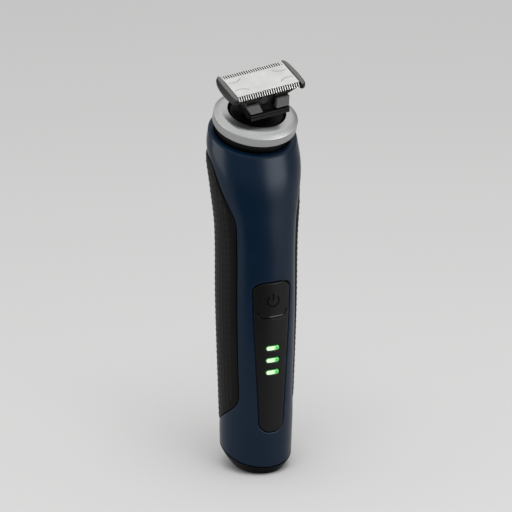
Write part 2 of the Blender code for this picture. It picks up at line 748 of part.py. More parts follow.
def contact_ring():
    """Edge of the flat face that the groomer stands on."""
    middle = (CONTACT_BACK - CONTACT_FRONT) / 2
    reach = (CONTACT_BACK + CONTACT_FRONT) / 2
    points = []
    for side in range(SKIN_SIDES):
        angle = 2 * pi * side / SKIN_SIDES
        points.append(Vector((CONTACT_WIDTH / 2 * sin(angle), middle - reach * cos(angle), 0.0)))
    return points


def build_foot():
    """Foot cap with its plug inside the shell, the charging inlet and the two screws that hold it."""
    seam = [point - Vector((0.0, 0.0, FIT)) for point in ring_points(FOOT_HEIGHT)]
    inner_seam = [point - Vector((0.0, 0.0, FIT)) for point in ring_points(FOOT_HEIGHT, WALL + 2 * FIT)]
    plug_top = [point + Vector((0.0, 0.0, PLUG_RISE)) for point in inner_seam]
    hull = []
    for step in range(ARC_STEPS):
        share = step / ARC_STEPS
        hull.append([
            Vector((low.x + (top.x - low.x) * share, low.y + (top.y - low.y) * share,
                    top.z * share**HULL_POWER))
            for low, top in zip(contact_ring(), seam)
        ])
    rings = hull + [seam, inner_seam, plug_top]
    cap = part("base_cap", loft("base_cap", rings, capped=True), "black_satin")
    above = 2 * SOCKET_TOP
    low = (-INLET_WIDTH / 2, INLET_BACK - INLET_DEPTH / 2, -PIN_REACH)
    high = (INLET_WIDTH / 2, INLET_BACK + INLET_DEPTH / 2, above)
    boolean(cap, cutter("inlet_room", boxes("inlet_room", (low, high))))
    build_inlet()
    build_screws(cap, above)


def build_inlet():
    """Insulator in the foot's inlet, with its two contact pins."""
    low = (-INLET_WIDTH / 2 + FIT, INLET_BACK - INLET_DEPTH / 2 + FIT, INLET_CEILING)
    high = (INLET_WIDTH / 2 - FIT, INLET_BACK + INLET_DEPTH / 2 - FIT, SOCKET_TOP)
    socket = part("charging_socket", boxes("charging_socket", (low, high)), "black_satin")
    for label, side in (("left", -1), ("right", 1)):
        foot = Vector((side * PIN_SPACING / 2, INLET_BACK, INLET_CEILING - PIN_REACH))
        head = Vector((side * PIN_SPACING / 2, INLET_BACK, SOCKET_TOP + PIN_TAIL))
        part("charging_pin_" + label, rods("charging_pin_" + label, (foot, head, PIN_RADIUS)), "nickel")
        room = rods("pin_room_" + label, (foot, head, PIN_RADIUS + FIT))
        boolean(socket, cutter("pin_room_" + label, room))


def build_screws(cap, above):
    """Two screws from the foot's underside into the chassis."""
    tip = CHASSIS_FOOT + SHELF + FIT
    for label, side in (("left", -1), ("right", 1)):
        foot = Vector((side * SCREW_SPACING / 2, -SCREW_FORWARD, 0.0))
        head_low = foot + Vector((0.0, 0.0, SCREW_SINK))
        head_top = head_low + Vector((0.0, 0.0, SCREW_HEAD_HEIGHT))
        screw = part("base_screw_" + label, rods("base_screw", (head_low, head_top, SCREW_HEAD_RADIUS)),
                     "dark_steel")
        shank_end = foot + Vector((0.0, 0.0, tip))
        shank = rods("screw_shank", (head_low + (head_top - head_low) / 2, shank_end, SCREW_RADIUS))
        boolean(screw, cutter("screw_shank_" + label, shank), "UNION")
        gap = Vector((0.0, 0.0, FIT))
        head_room = rods("screw_head_room", (foot - gap, head_top + gap, SCREW_HEAD_RADIUS + FIT))
        boolean(cap, cutter("screw_head_room_" + label, head_room))
        beyond = foot + Vector((0.0, 0.0, above))
        shank_room = rods("screw_shank_room", (foot, beyond, SCREW_RADIUS + FIT))
        boolean(cap, cutter("screw_shank_room_" + label, shank_room))


# Heights of the chassis shelves
FACE_TOP = LEVER_PIVOT.z - FACE_DROP
CELL_BOTTOM = CHASSIS_FOOT + SHELF + TAB_THICKNESS + 2 * FIT
CELL_TOP = MOTOR_SHELF - TAB_THICKNESS - 2 * FIT
MOTOR_AXIS = Vector((0.0, LEVER_PIVOT.y, 0.0))


def chassis_half_width():
    """Half width that lets the chassis slide into the handle at its narrow foot."""
    row_width, row_depth, setback = section(CHASSIS_FOOT)
    lean = max(abs(SPINE_FRONT - setback), abs(SHELF_REACH - setback)) / (row_depth - WALL)
    return (row_width - WALL) * cos(asin(lean)) - EDGE_ROOM


def build_chassis():
    """Comb-shaped frame, drawn from the side: a spine behind the board with three shelves."""
    shelves = ((CHASSIS_FOOT, CHASSIS_FOOT + SHELF), (MOTOR_SHELF, MOTOR_SHELF + SHELF),
               (FACE_TOP - SHELF, FACE_TOP))
    outline = [(SPINE_FRONT, FACE_TOP), (SPINE_FRONT, CHASSIS_FOOT)]
    for low, high in shelves:
        outline += [(SPINE_BACK, low), (SHELF_REACH, low), (SHELF_REACH, high), (SPINE_BACK, high)]
    in_line_with_ends = (SPINE_BACK, CHASSIS_FOOT), (SPINE_BACK, FACE_TOP)
    outline = [point for point in outline if point not in in_line_with_ends]
    half = chassis_half_width()
    chassis = part("chassis", slab("chassis", outline, -half, half, PLANE_YZ), "chassis_plastic")
    for label, side in (("left", -1), ("right", 1)):
        low = Vector((side * SCREW_SPACING / 2, -SCREW_FORWARD, CHASSIS_FOOT - SHELF))
        high = low + Vector((0.0, 0.0, 3 * SHELF))
        hole = rods("chassis_hole", (low, high, SCREW_RADIUS + FIT))
        boolean(chassis, cutter("chassis_hole_" + label, hole))
    low = MOTOR_AXIS + Vector((0.0, 0.0, FACE_TOP - 2 * SHELF))
    high = MOTOR_AXIS + Vector((0.0, 0.0, FACE_TOP + SHELF))
    boolean(chassis, cutter("shaft_hole", rods("shaft_hole", (low, high, SHAFT_RADIUS + FIT))))


def build_cell():
    """Round rechargeable cell against the spine, with a contact tab at each end."""
    axis = Vector((0.0, SPINE_BACK + FIT + CELL_RADIUS, 0.0))
    low, high = axis + Vector((0.0, 0.0, CELL_BOTTOM)), axis + Vector((0.0, 0.0, CELL_TOP))
    part("battery_cell", rods("battery_cell", (low, high, CELL_RADIUS), sides=CAN_SIDES), "cell_sleeve")
    reach = Vector((TAB_LENGTH / 2, TAB_WIDTH / 2, 0.0))
    for label, base in (("lower", CELL_BOTTOM - FIT - TAB_THICKNESS), ("upper", CELL_TOP + FIT)):
        low = axis - reach + Vector((0.0, 0.0, base))
        high = axis + reach + Vector((0.0, 0.0, base + TAB_THICKNESS))
        part("battery_tab_" + label, boxes("battery_tab_" + label, (low, high)), "nickel")


def build_motor():
    """Motor between the two upper shelves, with a turning shaft that carries an eccentric."""
    bottom, top = MOTOR_SHELF + SHELF + FIT, FACE_TOP - SHELF - FIT
    low, high = MOTOR_AXIS + Vector((0.0, 0.0, bottom)), MOTOR_AXIS + Vector((0.0, 0.0, top))
    can = part("motor_can", rods("motor_can", (low, high, MOTOR_RADIUS), sides=CAN_SIDES), "dark_steel")
    bore_end = MOTOR_AXIS + Vector((0.0, 0.0, top - SHAFT_GRIP - FIT))
    bore = rods("shaft_bore", (bore_end, high + Vector((0.0, 0.0, SHELF)), SHAFT_RADIUS + FIT))
    boolean(can, cutter("shaft_bore", bore))

    turning = frame_empty("motor_frame", MOTOR_AXIS + Vector((0.0, 0.0, FACE_TOP)))
    cam_low = BRACKET_BASE + 2 * FIT
    cam_top = cam_low + CAM_HEIGHT
    shaft_low = top - SHAFT_GRIP - FACE_TOP
    shaft_top = cam_top - CAM_FLOOR - FIT
    shaft = rods("motor_shaft", ((0.0, 0.0, shaft_low), (0.0, 0.0, shaft_top), SHAFT_RADIUS))
    part("motor_shaft", shaft, "dark_steel", turning)
    cam = part("drive_eccentric", rods("cam", ((0.0, 0.0, cam_low), (0.0, 0.0, cam_top), CAM_RADIUS)),
               "grey_plastic", turning)
    crank_foot = (0.0, CRANK_THROW, cam_top - CAM_FLOOR / 2)
    crank_head = (0.0, CRANK_THROW, cam_top + CRANK_HEIGHT)
    crank = rods("crank", (crank_foot, crank_head, CRANK_RADIUS))
    boolean(cam, cutter("crank", crank, turning), "UNION")
    socket = rods("cam_bore", ((0.0, 0.0, 0.0), (0.0, 0.0, cam_top - CAM_FLOOR), SHAFT_RADIUS + FIT))
    boolean(cam, cutter("cam_bore", socket, turning))


def build_lever():
    """Rocking lever on a cross pin: its fork follows the crank, its ball-ended pin drives the cutter."""
    pivot = frame_empty("lever_frame", LEVER_PIVOT)
    swing = STROKE / ((HEAD_PIVOT - LEVER_PIVOT).z) * FORK_DROP
    slot = CRANK_RADIUS + CRANK_THROW + swing + FIT
    prong = slot + PRONG
    crank_low = LEVER_PIVOT.z - (FACE_TOP + BRACKET_BASE + 2 * FIT + CAM_HEIGHT)
    fork_low, fork_top = -crank_low + FIT, -crank_low + CRANK_HEIGHT + 2 * FIT
    rise = LEVER_HUB * LEVER_FACET
    outline = [
        (-prong, fork_low), (-slot, fork_low), (-slot, fork_top), (slot, fork_top), (slot, fork_low),
        (prong, fork_low), (prong, fork_top + PRONG), (LEVER_HUB, rise), (rise, LEVER_HUB),
        (-rise, LEVER_HUB), (-LEVER_HUB, rise), (-prong, fork_top + PRONG),
    ]
    half = LEVER_THICKNESS / 2
    body = slab("drive_lever", outline, -half, half, PLANE_XZ)
    lever = part("drive_lever", body, "grey_plastic", pivot)
    hole = rods("lever_hole", ((0.0, -2 * half, 0.0), (0.0, 2 * half, 0.0), PIVOT_RADIUS + FIT))
    boolean(lever, cutter("lever_hole", hole, pivot))
    root = NECK_AXIS * (PIVOT_RADIUS + 3 * FIT)
    mouth = NECK_AXIS * 2 * LEVER_HUB
    socket = rods("pin_socket", (root - NECK_AXIS * FIT, mouth, DRIVE_PIN_RADIUS + FIT))
    boolean(lever, cutter("pin_socket", socket, pivot))
    ball = HEAD_PIVOT - LEVER_PIVOT
    pin = part("drive_pin", rods("drive_pin", (root, ball, DRIVE_PIN_RADIUS)), "dark_steel", pivot)
    bm = bmesh.new()
    bmesh.ops.create_uvsphere(bm, u_segments=ROD_SIDES, v_segments=ROD_SIDES // 2,
                              radius=DRIVE_BALL_RADIUS, matrix=Matrix.Translation(ball))
    boolean(pin, cutter("drive_ball", mesh_of("drive_ball", bm), pivot), "UNION")


def build_bracket():
    """Upright bracket on the motor's shelf whose two ears hold the lever's cross pin."""
    ear_inner = max(LEVER_THICKNESS / 2, CAM_RADIUS + CRANK_THROW) + 2 * FIT
    ear_outer = ear_inner + EAR_THICKNESS
    base = FACE_TOP + FIT
    top = LEVER_PIVOT.z + EAR_RISE
    middle = LEVER_PIVOT.y
    outline = [
        (middle - ear_outer, base), (middle + ear_outer, base), (middle + ear_outer, top),
        (middle + ear_inner, top), (middle + ear_inner, base + BRACKET_BASE),
        (middle - ear_inner, base + BRACKET_BASE), (middle - ear_inner, top), (middle - ear_outer, top),
    ]
    half = BRACKET_WIDTH / 2
    body = slab("lever_bracket", outline, -half, half, PLANE_YZ)
    bracket = part("lever_bracket", body, "grey_plastic")
    low = MOTOR_AXIS + Vector((0.0, 0.0, base - SHELF))
    high = MOTOR_AXIS + Vector((0.0, 0.0, base + BRACKET_BASE + FIT))
    boolean(bracket, cutter("cam_room", rods("cam_room", (low, high, CAM_RADIUS + FIT))))
    front = LEVER_PIVOT - Vector((0.0, ear_outer, 0.0))
    back = LEVER_PIVOT + Vector((0.0, ear_outer, 0.0))
    beyond = Vector((0.0, EAR_THICKNESS, 0.0))
    hole = rods("pivot_hole", (front - beyond, back + beyond, PIVOT_RADIUS + FIT))
    boolean(bracket, cutter("pivot_hole", hole))
    part("lever_pivot_pin", rods("lever_pivot_pin", (front, back, PIVOT_RADIUS)), "dark_steel")


# Blade frames: the plug-on coupler slides along the neck, the gimbal pitches, the carrier rolls
PLATE_UNDER = PLATE_RISE - PLATE_THICKNESS
CUTTER_TOP = PLATE_UNDER - FIT
CUTTER_UNDER = CUTTER_TOP - CUTTER_THICKNESS
CARRIER_TOP = CUTTER_UNDER - FIT
BEAM_UNDER = CARRIER_TOP - CARRIER_BEAM
CARRIER_BOTTOM = -(PIVOT_HEIGHT - TILT_ROOM)
POST_INNER = POST_SPACING / 2
POST_OUTER = POST_INNER + POST_THICKNESS
GIMBAL_INNER_X = POST_OUTER + FIT
GIMBAL_OUTER_X = GIMBAL_INNER_X + GIMBAL_BAR
CAVITY_Y = CARRIER_DEPTH / 2 - CARRIER_SIDE
GIMBAL_OUTER_Y = CAVITY_Y - FIT
GIMBAL_INNER_Y = GIMBAL_OUTER_Y - GIMBAL_BAR
CAVITY_X = max(CARRIER_WIDTH / 2 - CARRIER_WALL, hypot(GIMBAL_OUTER_X, GIMBAL_HALF_HEIGHT) + FIT)
CARRIER_HALF = CAVITY_X + CARRIER_WALL


def build_coupler(frame):
    """Foot of the plug-on blade: an oval disc in the neck's well with two posts that hold the gimbal."""
    disc_top = -2 * FIT
    disc = turned("blade_coupler", [
        (SEAT_RADIUS - SEAT_LIP - FIT, disc_top), (SEAT_RADIUS - SEAT_LIP - FIT, -WELL_DEPTH + FIT),
        (COUPLER_BORE, -WELL_DEPTH + FIT), (COUPLER_BORE, disc_top),
    ], "black_satin", frame)
    crown = PIVOT_HEIGHT + POST_CROWN
    sides = []
    for side in (-1, 1):
        low_x, high_x = sorted((side * POST_INNER, side * POST_OUTER))
        sides.append(((low_x, -POST_WIDTH / 2, -WELL_DEPTH / 2), (high_x, POST_WIDTH / 2, crown)))
    boolean(disc, cutter("coupler_posts", boxes("coupler_posts", *sides), frame), "UNION")
    reach = 2 * POST_OUTER
    left, right = (-reach, 0.0, PIVOT_HEIGHT), (reach, 0.0, PIVOT_HEIGHT)
    hole = rods("pitch_holes", (left, right, TRUNNION_RADIUS + FIT))
    boolean(disc, cutter("pitch_holes", hole, frame))


def build_gimbal(frame):
    """Frame between the posts and the carrier, with a pair of pins for each tilt direction."""
    height = GIMBAL_HALF_HEIGHT
    outer = ((-GIMBAL_OUTER_X, -GIMBAL_OUTER_Y, -height), (GIMBAL_OUTER_X, GIMBAL_OUTER_Y, height))
    room = 2 * height
    inner = ((-GIMBAL_INNER_X, -GIMBAL_INNER_Y, -room), (GIMBAL_INNER_X, GIMBAL_INNER_Y, room))
    gimbal = part("gimbal_ring", boxes("gimbal_ring", outer), "grey_plastic", frame)
    boolean(gimbal, cutter("gimbal_room", boxes("gimbal_room", inner), frame))
    hole_radius = TRUNNION_RADIUS + FIT
    across = rods("trunnion_x", ((-CARRIER_HALF, 0, 0), (CARRIER_HALF, 0, 0), hole_radius))
    along = rods("trunnion_y", ((0, -CARRIER_DEPTH, 0), (0, CARRIER_DEPTH, 0), hole_radius))
    boolean(gimbal, cutter("trunnion_x", across, frame))
    boolean(gimbal, cutter("trunnion_y", along, frame))
    for label, side in (("left", -1), ("right", 1)):
        pin = ((side * POST_INNER, 0.0, 0.0), (side * GIMBAL_OUTER_X, 0.0, 0.0), TRUNNION_RADIUS)
        part("pitch_pin_" + label, rods("pitch_pin_" + label, pin), "dark_steel", frame)
    for label, side in (("front", -1), ("rear", 1)):
        tip = CAVITY_Y + CARRIER_SIDE / 2
        pin = ((0.0, side * GIMBAL_INNER_Y, 0.0), (0.0, side * tip, 0.0), TRUNNION_RADIUS)
        part("roll_pin_" + label, rods("roll_pin_" + label, pin), "dark_steel", frame)


def build_carrier(frame):
    """Black box under the blade: a long beam, a box around the gimbal and a ledge along the front."""
    end = PLATE_LENGTH / 2
    post = end - CARRIER_POST
    post_top = PLATE_UNDER - FIT
    flare = BEAM_UNDER - CARRIER_BEAM
    outline = [
        (-CARRIER_HALF, CARRIER_BOTTOM), (CARRIER_HALF, CARRIER_BOTTOM), (CARRIER_HALF, flare),
        (end, BEAM_UNDER), (end, post_top), (post, post_top), (post, CARRIER_TOP),
        (-post, CARRIER_TOP), (-post, post_top), (-end, post_top), (-end, BEAM_UNDER),
        (-CARRIER_HALF, flare),
    ]
    half = CARRIER_DEPTH / 2
    body = slab("blade_carrier", outline, -half, half, PLANE_XZ)
    carrier = part("blade_carrier", body, "black_satin", frame)
    low = (-LEDGE_WIDTH / 2, -half - LEDGE_REACH, -LEDGE_DROP - LEDGE_THICKNESS)
    high = (LEDGE_WIDTH / 2, -half + CARRIER_SIDE / 2, -LEDGE_DROP)
    boolean(carrier, cutter("carrier_ledge", boxes("carrier_ledge", (low, high)), frame), "UNION")
    low, high = (-CAVITY_X, -CAVITY_Y, 2 * CARRIER_BOTTOM), (CAVITY_X, CAVITY_Y, BEAM_UNDER)
    boolean(carrier, cutter("carrier_cavity", boxes("carrier_cavity", (low, high)), frame))
    reach_x = BRIDGE_LENGTH / 2 + STROKE + 2 * FIT
    reach_y = BRIDGE_WIDTH / 2 + 2 * FIT
    low, high = (-reach_x, -reach_y, 0.0), (reach_x, reach_y, PLATE_RISE)
    boolean(carrier, cutter("bridge_room", boxes("bridge_room", (low, high)), frame))
    pin_reach = CAVITY_Y + CARRIER_SIDE / 2 + FIT
    along = rods("roll_holes", ((0, -pin_reach, 0), (0, pin_reach, 0), TRUNNION_RADIUS + FIT))
    boolean(carrier, cutter("roll_holes", along, frame))


def comb(name, length, flat_edge, low, high, reach):
    """Boxes that cut even slots into both long edges of a strip."""
    pitch = length / TOOTH_COUNT
    slots = []
    for index in range(TOOTH_COUNT - 1):
        x = (index + 1 - TOOTH_COUNT / 2) * pitch
        for near, far in ((-reach, -flat_edge), (flat_edge, reach)):
            slots.append(((x - TOOTH_GAP / 2, near, low), (x + TOOTH_GAP / 2, far, high)))
    return boxes(name, *slots)


def build_plate(frame):
    """Steel guard plate: a flat strip whose long edges are slotted into teeth and bent down."""
    flat, end = PLATE_FLAT / 2, PLATE_LENGTH / 2
    fall = TOOTH_LENGTH * sin(TOOTH_BEND)
    reach = flat + TOOTH_LENGTH * cos(TOOTH_BEND)
    tip = PLATE_RISE - fall
    edge = [(-reach, tip), (-flat, PLATE_RISE), (flat, PLATE_RISE), (reach, tip)]
    bm = bmesh.new()
    left = [bm.verts.new((-end, y, z)) for y, z in edge]
    right = [bm.verts.new((end, y, z)) for y, z in edge]
    for index in range(len(edge) - 1):
        bm.faces.new((left[index], right[index], right[index + 1], left[index + 1]))
    plate = part("guard_plate", mesh_of("guard_plate", bm), "blade_steel", frame)
    thicken(plate, PLATE_THICKNESS)
    low, high = PLATE_RISE - 2 * fall, 2 * PLATE_RISE
    slots = comb("plate_slots", PLATE_LENGTH, flat - TOOTH_ROOT, low, high, 2 * reach)
    boolean(plate, cutter("plate_slots", slots, frame))


def build_cutter(frame):
    """Reciprocating toothed blade under the guard plate, with the bridge that the drive ball moves."""
    half_width = PLATE_FLAT / 2 - CUTTER_SETBACK - FIT
    end = CUTTER_LENGTH / 2
    strip = boxes("cutter_blade", ((-end, -half_width, CUTTER_UNDER), (end, half_width, CUTTER_TOP)))
    blade = part("cutter_blade", strip, "dark_steel", frame)
    slots = comb("cutter_slots", CUTTER_LENGTH, half_width - TOOTH_ROOT, 0.0, PLATE_RISE, PLATE_FLAT)
    boolean(blade, cutter("cutter_slots", slots, frame))
    bridge_top = CUTTER_UNDER - FIT
    bridge_low = bridge_top - BRIDGE_HEIGHT
    slot = DRIVE_BALL_RADIUS + FIT / 2
    prong = slot + BRIDGE_PRONG
    foot = -DRIVE_BALL_RADIUS
    slot_top = DRIVE_BALL_RADIUS + FIT
    outline = [
        (-prong, foot), (-slot, foot), (-slot, slot_top), (slot, slot_top), (slot, foot), (prong, foot),
        (prong, bridge_low), (BRIDGE_LENGTH / 2, bridge_low), (BRIDGE_LENGTH / 2, bridge_top),
        (-BRIDGE_LENGTH / 2, bridge_top), (-BRIDGE_LENGTH / 2, bridge_low), (-prong, bridge_low),
    ]
    half = BRIDGE_WIDTH / 2
    part("cutter_bridge", slab("cutter_bridge", outline, -half, half, PLANE_XZ), "grey_plastic", frame)


def build_end_guards(frame):
    """Crescent guards that close the ends of the plate: flat inside, bowed outside, with a round belly."""
    inner = PLATE_LENGTH / 2 + FIT
    top = PLATE_RISE + GUARD_PROUD
    steps = 2 * ARC_STEPS
    for label, side in (("left", -1), ("right", 1)):
        rings = []
        for step in range(steps + 1):
            share = 2 * step / steps - 1
            bow = GUARD_TIP + (1.0 - GUARD_TIP) * sqrt(1.0 - GUARD_BOW * share**2)
            thickness = GUARD_THICKNESS * bow
            belly = GUARD_HEIGHT * (GUARD_BELLY_TIP + (1.0 - GUARD_BELLY_TIP) * (1.0 - share**2))
            crown = GUARD_PROUD * share**2
            near, far = side * inner, side * (inner + thickness)
            bevel = side * (inner + thickness * GUARD_BEVEL)
            y = GUARD_SPAN / 2 * share
            ring = [
                (near, y, top - belly), (bevel, y, top - belly), (far, y, top - belly * GUARD_BEVEL),
                (far, y, top - crown - GUARD_PROUD), (bevel, y, top - crown), (near, y, top - crown),
            ]
            rings.append([Vector(point) for point in (ring if side < 0 else reversed(ring))])
        name = "end_guard_" + label
        part(name, loft(name, rings, capped=True), "grey_plastic", frame)


def build_pads(frame):
    """Two grey wedge pads on the carrier's front, wider at the top and standing out at the bottom."""
    face = -CARRIER_DEPTH / 2 - FIT
    top = PAD_HEIGHT - PAD_DROP
    for label, side in (("left", -1), ("right", 1)):
        near, far = side * PAD_GAP / 2, side * (PAD_GAP / 2 + PAD_WIDTH)
        low_near, low_far = near - side * PAD_TAPER / 2, far - side * PAD_TAPER
        rings = []
        for z, inner, outer, depth in ((-PAD_DROP, low_near, low_far, PAD_BOTTOM_DEPTH),
                                       (top, near, far, PAD_TOP_DEPTH)):
            left, right = sorted((inner, outer))
            front = face - depth
            ring = [(left, front, z), (right, front, z), (right, face, z), (left, face, z)]
            rings.append([Vector(point) for point in ring])
        name = "latch_pad_" + label
        part(name, loft(name, rings, capped=True), "grey_plastic", frame)


def build_blade():
    plug = frame_empty("coupler_frame", SEAT, (NECK_TILT, 0.0, 0.0))
    pitch = frame_empty("pitch_frame", (0.0, 0.0, PIVOT_HEIGHT), (HEAD_PITCH, 0.0, 0.0), plug)
    roll = frame_empty("roll_frame", (0.0, 0.0, 0.0), (0.0, HEAD_ROLL, 0.0), pitch)
    build_coupler(plug)
    build_gimbal(pitch)
    build_carrier(roll)
    build_plate(roll)
    build_end_guards(roll)
    build_pads(roll)
    build_cutter(roll)


build_shell_group()
build_board()
build_neck()
build_foot()
build_chassis()
build_cell()
build_motor()
build_bracket()
build_lever()
build_blade()
bpy.context.view_layer.update()
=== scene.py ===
"""Looks of a cordless body groomer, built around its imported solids.

The handle's skin is unrolled into a flat sheet. The edges of its pieces are drawn there, and rolled back.
Lengths are in metres, +Z is up and the front of the groomer faces -Y.
"""
from math import cos, pi, radians, sin, sqrt, tan

import bmesh
import bpy
import numpy as np
from mathutils import Matrix, Vector
from mathutils.geometry import delaunay_2d_cdt


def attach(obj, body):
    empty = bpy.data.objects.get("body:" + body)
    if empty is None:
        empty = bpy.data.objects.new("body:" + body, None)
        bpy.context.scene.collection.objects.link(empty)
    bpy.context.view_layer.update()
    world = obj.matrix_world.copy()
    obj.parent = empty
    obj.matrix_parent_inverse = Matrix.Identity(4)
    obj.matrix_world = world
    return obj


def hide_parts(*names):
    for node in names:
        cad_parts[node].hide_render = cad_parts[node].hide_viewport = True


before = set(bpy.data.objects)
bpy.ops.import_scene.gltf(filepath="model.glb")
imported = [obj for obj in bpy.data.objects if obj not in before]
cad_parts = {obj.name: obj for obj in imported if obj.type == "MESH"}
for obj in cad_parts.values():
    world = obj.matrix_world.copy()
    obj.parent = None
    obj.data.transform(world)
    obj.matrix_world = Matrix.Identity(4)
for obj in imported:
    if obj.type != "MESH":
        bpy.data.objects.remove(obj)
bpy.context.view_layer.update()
scene = bpy.context.scene

# The photograph's camera: a long lens a little above the groomer, to the left of its front.
# It stands more than a metre away, so that upright edges stay almost parallel.
view_azimuth = radians(-26)
view_elevation = radians(17.5)
view_target = Vector((0, 0, 0.0927))
view_distance = 1.108


def placed(name, data):
    """A new object in the scene."""
    item = bpy.data.objects.new(name, data)
    scene.collection.objects.link(item)
    return item


def stand(reach, turn, rise):
    """A place at a distance from the groomer, turned away from the camera's side."""
    angle = view_azimuth + turn
    return reach * sin(angle), -reach * cos(angle), rise


view_back = Vector(stand(cos(view_elevation), 0, sin(view_elevation)))
camera = placed("camera", bpy.data.cameras.new("camera"))
camera.data.sensor_width = 36
camera.data.lens = 186.9
camera.location = view_target + view_back * view_distance
camera.rotation_euler = (-view_back).to_track_quat("-Z", "Y").to_euler()
scene.camera = camera
scene.view_settings.view_transform = "Standard"

# The studio: a pale seamless floor under a soft white dome that is brighter overhead.
# Two upright soft boxes stand left and right and a soft lamp hangs in front; a black card on the floor
# in front shows only in reflections.
MM = 0.001
FLOOR_COLOUR = (0.67, 0.67, 0.667)
FLOOR_HALF = 4
CARD_NEAR = 0.24
CARD_FAR = 1.8
CARD_LEFT = radians(-38)
CARD_RIGHT = radians(52)
CARD_LIFT = 0.4 * MM
# Each lamp: distance, turn from the camera's side, rise, width, height and power
LAMPS = {
    "left_box": (1, radians(-79), 0.3, 0.9, 0.55, 6),
    "right_box": (1, radians(62), 0.3, 0.75, 0.55, 7.2),
    "front_lamp": (0.5, radians(10), 1.1, 0.8, 0.8, 5.6),
}
DOME_LOW = 0.24
DOME_HIGH = 0.94
DOME_CROWN = 0.9


class Socket:
    """A shader socket for Python expressions: each operator adds a Math node to its tree."""

    def __init__(self, tree, output=None):
        self.tree = tree
        self.output = output

    def node(self, kind, inputs=None, output=0, **settings):
        """Add a node with settings, and with values or links for its sockets."""
        made = self.tree.nodes.new("ShaderNode" + kind)
        for name, value in settings.items():
            setattr(made, name, value)
        for name, value in (inputs or {}).items():
            if isinstance(value, Socket):
                self.tree.links.new(value.output, made.inputs[name])
            else:
                made.inputs[name].default_value = value
        return Socket(self.tree, made.outputs[output])

    def math(self, operation, *others):
        return self.node("Math", dict(enumerate((self, *others))), operation=operation)

    def __add__(self, other):
        return self.math("ADD", other)

    def __sub__(self, other):
        return self.math("SUBTRACT", other)

    def __rsub__(self, other):
        return self.node("Math", {0: other, 1: self}, operation="SUBTRACT")

    def __mul__(self, other):
        return self.math("MULTIPLY", other)

    def __abs__(self):
        return self.math("ABSOLUTE")

    __radd__ = __add__
    __rmul__ = __mul__

    def distance(self, other):
        """The straight distance for two offsets at right angles."""
        return (self * self + other * other).math("SQRT")

    def axes(self):
        """The three coordinates of a place."""
        parts = self.node("SeparateXYZ", {"Vector": self}).output.node.outputs
        return [Socket(self.tree, part) for part in parts]

    def between(self, low, high):
        """0 below a value, 1 above another, with a smooth rise from one to the other."""
        return self.node("MapRange", {"Value": self, "From Min": low, "From Max": high},
                         interpolation_type="SMOOTHSTEP")

    def below(self, low, high):
        return 1 - self.between(low, high)

    def feed(self, shader, name):
        self.tree.links.new(self.output, shader.inputs[name])


def place_on(material):
    """The object's own coordinates, to paint a material with."""
    return Socket(material.node_tree).node("TexCoord", output="Object")


def finish(name, colour, roughness, metallic=0, specular=0.5):
    """A new material with plain values, its shader, and the coordinates to paint it with."""
    material = bpy.data.materials.new(name)
    material.use_nodes = True
    shader = material.node_tree.nodes["Principled BSDF"]
    for socket, value in (("Base Color", (*colour, 1)), ("Roughness", roughness),
                          ("Metallic", metallic), ("Specular IOR Level", specular)):
        shader.inputs[socket].default_value = value
    return material, shader, place_on(material)


def speckle(place, scale, detail=2):
    """Cloudy values around a half; scale is clouds per metre."""
    return place.node("TexNoise", {"Vector": place, "Scale": scale, "Detail": detail}, "Fac")


def blended(factor, first, second):
    """A colour between two colours, each one a value or a socket."""
    first, second = [colour if isinstance(colour, Socket) else (*colour, 1) for colour in (first, second)]
    return factor.node("Mix", {0: factor, 6: first, 7: second}, 2, data_type="RGBA")


def shaded(colour, factor):
    return tuple(factor * channel for channel in colour)


def mottled(factor, colour, low, high):
    """A colour that wanders between a darker and a lighter shade of itself."""
    return blended(factor, shaded(colour, low), shaded(colour, high))


def flat_sheet(name, corners, material):
    mesh = bpy.data.meshes.new(name)
    mesh.from_pydata(corners, [], [tuple(range(len(corners)))])
    mesh.materials.append(material)
    item = placed(name, mesh)
    return item


floor_paint, floor_shader, floor_place = finish("studio_floor", FLOOR_COLOUR, 0.9, specular=0)
mottled(speckle(floor_place, 3), FLOOR_COLOUR, 0.985, 1.015).feed(floor_shader, "Base Color")
flat_sheet("studio_floor", [(FLOOR_HALF * x, FLOOR_HALF * y, 0)
                            for x, y in ((-1, -1), (1, -1), (1, 1), (-1, 1))], floor_paint)

card_paint, *_ = finish("black_card", (0.002, 0.002, 0.002), 0.9, specular=0)
card_corners = ((CARD_NEAR, CARD_LEFT), (CARD_NEAR, CARD_RIGHT), (CARD_FAR, CARD_RIGHT), (CARD_FAR, CARD_LEFT))
card = flat_sheet("black_card", [stand(*corner, CARD_LIFT) for corner in card_corners], card_paint)
card.visible_camera = card.visible_diffuse = card.visible_shadow = False

for name, (distance, turn, rise, width, height, power) in LAMPS.items():
    light = bpy.data.lights.new(name, "AREA")
    light.shape = "RECTANGLE"
    light.size, light.size_y, light.energy = width, height, power
    lamp = placed(name, light)
    lamp.location = stand(distance, turn, rise)
    if name == "front_lamp":
        lamp.visible_glossy = False
    else:
        lamp.rotation_euler = Vector((*lamp.location.xy, 0)).to_track_quat("Z", "Y").to_euler()
        lamp.visible_diffuse = False

scene.world = bpy.data.worlds.new("studio_dome")
scene.world.use_nodes = True
dome_height = Socket(scene.world.node_tree).node("TexCoord", output="Generated").axes()[2]
dome_glow = DOME_LOW + (DOME_HIGH - DOME_LOW) * dome_height.between(0, DOME_CROWN)
dome_glow.feed(scene.world.node_tree.nodes["Background"], "Color")

